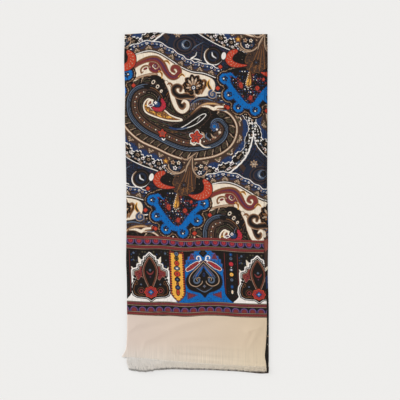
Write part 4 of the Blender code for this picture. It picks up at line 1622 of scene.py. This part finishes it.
def niche_spade(patch, half):
    """The black spade in the dome: a slate wedge, a ring and a long tan scroll at both sides of its core."""
    edge = area(patch, SPADE, 3, navy=1, soot=0)
    nest(patch, edge + 7, bark=0, soot=-0.7)
    wedge = [(0, 47), (17, 66), (20, 74), (15, 81), (9, 76), (9, 68), (0, 57)]
    area(half, wedge, 2, slate=0, navy=-1, azure=-2.4)
    ring = disc(half, 13, 76.5, 6.8, soot=0.4, slate=-0.6)
    half.lay("soot", ring + 3.4)
    scroll = [
        (0, 43), (11, 54), (22, 64), (26.5, 74), (24, 83), (14, 87.5), (5, 83), (3.5, 76), (9, 71.5),
        (13, 74), (12, 78),
    ]
    stroke(half, scroll, [1.1, 1.3, 1.4, 1.4, 1.4, 1.3, 1.2, 1.1, 1], soot=0.9, tan=0)
    stroke(half, [(0, 49), (9, 60), (16, 70)], [0.8, 1.2, 0.8], copper=0)
    area(patch, CORE, 2, soot=0)
    oval(patch, 0, 67, 2.2, 4, navy=0, soot=-1.2)
    stroke(patch, [(-14, 90), (-7, 95), (0, 98), (7, 95), (14, 90)], [0.8, 1.4, 2, 1.4, 0.8], slate=0)
    petals(patch, 0, 88, 2.6, 4, copper=0.5, slate=0)


def blue_niche(patch):
    """A bright blue dome that flares out at its foot, with specks all over it, its crown and its spade."""
    half = folded(patch)
    patch.lay("soot", np.maximum(half.x - 35.4, band(patch.y, 23.5, 115.5)))
    edge, skirt_edge = area(patch, DOME, 3), area(patch, SKIRT, 3)
    scallop = 1.1 * np.cos((half.x + patch.y) * 0.58) * (patch.y < 60)
    nest(patch, edge + scallop, midnight=1.6, plum=0.6, azure=-0.2)
    patch.lay("azure", skirt_edge)
    blue = np.minimum(edge, skirt_edge) + 1.5
    sprinkle(patch, np.maximum(edge + 2, patch.y - 56), 3.6, 1.4, "navy plum azure slate navy moss")
    sprinkle(patch, np.maximum(blue, 40 - patch.y), 2.6, 1, "navy azure navy azure midnight")
    niche_crown(patch, half)
    niche_spade(patch, half)


# %% Print a cloth with the border's design
NICHE_MIDDLE = 70
NICHE_REACH = 58
NICHES = (
    (42.5, sky_niche), (137.5, blue_niche), (90.4, yellow_column),
    (-4.4, black_column), (186.6, black_column), (233.5, sky_niche),
)
STRIPES = ((-1.8, 5.8, "brick"), (15.6, 23.2, "wine"), (116, 123.2, "plum"), (133.4, 140.6, "wine"))


def print_border(cloth):
    """The whole border on a cloth: its grounds and rows of cups, then its niches, and its stripes last."""
    seam, end = from_fold("border", cloth.x), from_fold("plain", cloth.x)
    down = (cloth.y - seam) * BORDER_DEEP / (end - seam)
    square = Patch(cloth.x - BORDER_LEAN * down, down, cloth.screens)
    square.lay("soot", band(down, 5, 17))
    square.lay("soot", band(down, 120, 136))
    cups(square, 8.2, 10, "rose")
    cups(square, 131.4, 11, "wine")
    square.lay("soot", band(down, 22, 58))
    square.lay("white", band(down, 58, 116.6))
    for centre, draw_niche in NICHES:
        draw_niche(square.at(centre, NICHE_MIDDLE, NICHE_REACH).at(0, -NICHE_MIDDLE, 200))
    for low, high, core in STRIPES:
        stripe(square, low, high, core)


# %% [markdown]
# ## Print every sheet
# A printer does not know how a scarf will be folded, so the print is laid on the cloth's own length and
# width: the field runs over the far fold and on down the back, and round the folded left edge. Each place
# of a sheet keeps its distances to all eighteen inks, three to an attribute.

# %% Lay the print on the sheets
# The third on the table starts this far behind the fold, and turns up again after this much cloth.
UNDER_START = 1.7
NEAR_FOLD_RUN = 597
# The print of the hidden plies is counted down from this y, and below the seam it is bands of a few inks.
LIP_START = 301
LIP_BANDS = (
    ("bark", 363), ("brick", 366), ("bark", 386), ("cream", 415), ("soot", 421), ("navy", 431), ("soot", 454),
)


def keep_screens(piece, screens):
    """Stores the distances of a print on a piece, three inks to each attribute."""
    for group in range(len(screens) // 3):
        three = screens[3 * group:3 * group + 3].reshape(3, -1).T
        kept = piece.data.attributes.new(f"inks_{group}", "FLOAT_VECTOR", "POINT")
        kept.data.foreach_set("vector", three.ravel())


def full_design(u, v):
    """The design of the scarf at places u, v: its field, and its border below the seam."""
    cloth = blank_cloth(u, v)
    print_field(cloth)
    lower = blank_cloth(u, v)
    print_border(lower)
    screens = np.where(v < from_fold("border", u), cloth.screens, lower.screens)
    return Patch(cloth.x, cloth.y, screens.astype(np.float32))


for piece, columns, points, design in (
    (field, field_columns, field_points, print_field), (border, border_columns, border_points, print_border),
):
    cloth = blank_cloth(*places(columns, points))
    design(cloth)
    keep_screens(piece, cloth.screens)

under_u = under_points[..., 0] - PLAN_LEFT + under_columns.run
under_v = np.broadcast_to(-UNDER_START - run_length(under_points)[:, None], under_u.shape)
under_cloth = blank_cloth(under_u, under_v)
print_field(under_cloth)
past_near_fold = -under_v - NEAR_FOLD_RUN
lap = band(past_near_fold, -6, 40)
under_cloth.lay("bark", lap)
under_cloth.lay("soot", np.maximum(abs(past_near_fold % 7 - 3.5) - 2.4, lap))
keep_screens(under, under_cloth.screens)

for lip, points in zip(lips, lip_grids):
    lip_cloth = full_design(points[..., 0] - PLAN_LEFT, LIP_START - points[..., 1])
    hem = lip_cloth.y + 2 * np.sin(lip_cloth.x)
    for ink, start in LIP_BANDS:
        lip_cloth.lay(ink, start - hem)
    drop = np.hypot(lip_cloth.x - 256, (lip_cloth.y - 527) * 0.62)
    lip_cloth.lay("tan", abs(drop - 7) - 0.5)
    sprinkle(lip_cloth, 503 - lip_cloth.y, 5.0, 1.0, "soot soot tan soot soot moss cream soot")
    keep_screens(lip, lip_cloth.screens)
print("printed with", len(INKS), "inks")

# %% [markdown]
# ## Printed silk
# Acid dyes sink into silk twill, so the print has no film of its own: the cloth keeps its soft shine, and
# the darkest inks stay a little grey, because the filaments throw back some light above the dye. In the
# shader the inks are compared one after the other, and the one whose edge lies furthest off wins, with a
# soft edge where ink bleeds into the threads. A twill shows fine diagonal ribs, about ten to a millimetre
# on real silk. They are drawn eight times coarser here, so that a bake can hold them.

# %% A twill weave, and printed silk
INK_BLEED = 0.35
TWILL_PITCH = 1.1 * MM
TWILL_HEADING = 63
SILK_ROUGHNESS = 0.5
SILK_IOR = 1.54


def cloth_grain(tree, height):
    """Diagonal ribs and a few thicker threads: a bump's normal, and a grey that wanders round one half."""
    place = add(tree, "TexCoord")
    aslant = {"Vector": place.outputs["Object"], "Rotation": (0, 0, math.radians(TWILL_HEADING))}
    turned = add(tree, "Mapping", aslant)
    rib = {"Scale": 1 / TWILL_PITCH / (2 * math.pi), "Distortion": 1.2, "Detail": 1.0, "Detail Scale": 1.4}
    ribs = add(tree, "TexWave", {"Vector": turned.outputs[0], **rib})
    slub_place = add(tree, "Mapping", {"Vector": place.outputs["Object"], "Scale": (900, 130, 200)})
    slubs = add(tree, "TexNoise", {"Vector": slub_place.outputs[0], "Scale": 1.0, "Detail": 2.0})
    both = add(tree, "Math", {0: ribs.outputs["Fac"], 1: slubs.outputs["Fac"]}, operation="ADD")
    bump = add(tree, "Bump", {"Height": both.outputs[0], "Strength": height, "Distance": 0.0002})
    return bump.outputs["Normal"], slubs.outputs["Fac"]


def new_material(name):
    """A material of this name, with its node tree and the shader that comes with it."""
    material = bpy.data.materials.new(name)
    material.use_nodes = True
    return material, material.node_tree, material.node_tree.nodes["Principled BSDF"]


def finish_silk(shader, shine, sheen, fuzz):
    """The finish of silk: the shine of smooth filaments, and the faint sheen of loose ones, with its fuzz."""
    for name, value in (
        ("Roughness", SILK_ROUGHNESS), ("IOR", SILK_IOR), ("Specular IOR Level", shine),
        ("Sheen Weight", sheen), ("Sheen Roughness", fuzz),
    ):
        shader.inputs[name].default_value = value


def printed_silk():
    """Silk twill with acid-dyed print: matt in its colour, with a soft sheen from the smooth filaments."""
    material, tree, shader = new_material("acid_dyed_silk_twill")
    deepest, colour = None, None
    for group in range(len(INKS) // 3):
        stored = add(tree, "Attribute", attribute_name=f"inks_{group}")
        three = add(tree, "SeparateXYZ", {0: stored.outputs["Vector"]})
        for ink, distance in zip(ORDER[3 * group:3 * group + 3], three.outputs):
            dye = (*linear(INKS[ink]), 1)
            if deepest is None:
                deepest, colour = distance, dye
                continue
            lead = add(tree, "Math", {0: deepest, 1: distance}, operation="SUBTRACT")
            soft = {0: lead.outputs[0], 1: 1 / INK_BLEED, 2: 0.5}
            share = add(tree, "Math", soft, operation="MULTIPLY_ADD", use_clamp=True)
            mixed = add(tree, "Mix", {"Factor": share.outputs[0], "A": colour, "B": dye}, data_type="RGBA")
            least = add(tree, "Math", {0: deepest, 1: distance}, operation="MINIMUM")
            deepest, colour = least.outputs[0], mixed.outputs["Result"]
    normal, slubs = cloth_grain(tree, height=0.25)
    uneven = {"From Min": 0.3, "From Max": 0.7, "To Min": 0.86, "To Max": 1.12}
    take_up = add(tree, "MapRange", {"Value": slubs, **uneven})
    dyed = add(tree, "VectorMath", {0: colour, "Scale": take_up.outputs[0]}, operation="SCALE")
    tree.links.new(dyed.outputs[0], shader.inputs["Base Color"])
    tree.links.new(normal, shader.inputs["Normal"])
    finish_silk(shader, shine=0.14, sheen=0.03, fuzz=0.4)
    return material


silk = printed_silk()
for piece in (field, border, under, *lips):
    piece.data.materials.append(silk)
print("nodes in the printed silk", len(silk.node_tree.nodes))

# %% [markdown]
# ## Plain silk and its threads
# The end of the scarf is the same twill, undyed. Its colour goes from a cool pink at the left to a warm
# straw at the right, and is lighter near the fringe: a painted sheen. Near the fringe the cloth is looser,
# and its warp shows as fine upright streaks. The fringe has the same painted sheen, thread by thread
# lighter or darker, and its threads darken towards their tips: painted shade along its lower edge.

# %% Plain silk, and the silk of the fringe
def painted_sheen_across(tree, left, right):
    """A colour across the scarf, from its left side to its right: painted sheen, lighter and pinker at the
    left.
    """
    place = add(tree, "TexCoord")
    parts = add(tree, "SeparateXYZ", {0: place.outputs["Object"]})
    across = add(tree, "MapRange", {"Value": parts.outputs["X"], "From Min": -0.12, "From Max": 0.13})
    ends = {"A": (*linear(left), 1), "B": (*linear(right), 1)}
    return add(tree, "Mix", {"Factor": across.outputs[0], **ends}, data_type="RGBA").outputs["Result"]


def plain_silk():
    """Undyed silk twill: pale, warm and pearly, with painted sheen in its colour and upright streaks above
    the fringe.
    """
    material, tree, shader = new_material("undyed_silk_twill")
    # Both colours carry a painted sheen, lighter and pinker at the left. The lower one, taken near the
    # fringe, is lighter still: painted sheen too.
    upper = painted_sheen_across(tree, "dccabd", "d8c2a4")
    lower = painted_sheen_across(tree, "e2d8cd", "dfccae")
    normal, _ = cloth_grain(tree, height=0.3)
    place = add(tree, "TexCoord")
    long_way = add(tree, "Mapping", {"Vector": place.outputs["Object"], "Scale": (420, 14, 1)})
    streaks = add(tree, "TexNoise", {"Vector": long_way.outputs[0], "Scale": 1.0, "Detail": 3.0})
    parts = add(tree, "SeparateXYZ", {0: place.outputs["Object"]})
    down = {"Value": parts.outputs["Y"], "From Min": -0.240, "From Max": -0.286}
    near = add(tree, "MapRange", down, interpolation_type="SMOOTHSTEP")
    mixed = add(tree, "Mix", {"Factor": near.outputs[0], "A": upper, "B": lower}, data_type="RGBA")
    thin_and_thick = {"From Min": 0.35, "From Max": 0.65, "To Min": -0.1, "To Max": 0.05}
    depth = add(tree, "MapRange", {"Value": streaks.outputs["Fac"], **thin_and_thick})
    streak = add(tree, "Math", {0: depth.outputs[0], 1: near.outputs[0], 2: 1.0}, operation="MULTIPLY_ADD")
    colour = mixed.outputs["Result"]
    shaded = add(tree, "VectorMath", {0: colour, "Scale": streak.outputs[0]}, operation="SCALE")
    tree.links.new(shaded.outputs[0], shader.inputs["Base Color"])
    tree.links.new(normal, shader.inputs["Normal"])
    finish_silk(shader, shine=0.4, sheen=0.25, fuzz=0.35)
    return material


def fringe_silk():
    """Loose silk warp: the same painted sheen, each thread a little lighter or darker, painted shade at the
    tips.
    """
    material, tree, shader = new_material("loose_silk_warp")
    # The same colours as the plain end: painted sheen, lighter at the left.
    colour = painted_sheen_across(tree, "fffaf3", "f7e8d0")
    stored = add(tree, "Attribute", attribute_name="thread_shade")
    shade = add(tree, "MapRange", {"Value": stored.outputs["Fac"], "To Min": 0.86, "To Max": 1.02})
    way = add(tree, "Attribute", attribute_name="thread_end")
    # Each thread darkens over its last stretch: painted shade along the fringe's lower edge. The weft threads
    # take one darkened place of this map: painted shade as well.
    painted_tip_shade = {"From Min": 0.84, "From Max": 1.0, "To Min": 1.0, "To Max": 0.4}
    ends = add(tree, "MapRange", {"Value": way.outputs["Fac"], **painted_tip_shade})
    both = add(tree, "Math", {0: shade.outputs[0], 1: ends.outputs[0]}, operation="MULTIPLY")
    shaded = add(tree, "VectorMath", {0: colour, "Scale": both.outputs[0]}, operation="SCALE")
    tree.links.new(shaded.outputs[0], shader.inputs["Base Color"])
    finish_silk(shader, shine=0.4, sheen=0.2, fuzz=0.35)
    return material


plain_end.data.materials.append(plain_silk())
fringe.data.materials.append(fringe_silk())
print("silks", [material.name for material in bpy.data.materials])

# %% [markdown]
# ## What each piece stands for
# A imported solid gave each stretch of the scarf its place. The thin sheets now stand for those solids,
# hide them and ride on the same body. The whole cloth, with what lies hidden in the folds, is 500 mm wide
# and 1800 mm long.


def stand_for(piece, node):
    """A piece that rides on the scarf's one body, in place of a solid, which it hides."""
    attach(piece, "root")
    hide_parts(node)


for piece, points, node, finish, lies_on, loose in (
    (under, under_points, "back_panel", "printed_silk", [floor], []),
    *((lip, points, "inner_layers", "printed_silk", [under], []) for lip, points in zip(lips, lip_grids)),
    (field, field_points, "front_field", "printed_silk", lips, []),
    (border, border_points, "front_border", "printed_silk", lips, []),
    (plain_end, end_points, "front_end", "plain_silk", lips, [fringe]),
):
    stand_for(piece, node)
stand_for(fringe, "front_fringe")
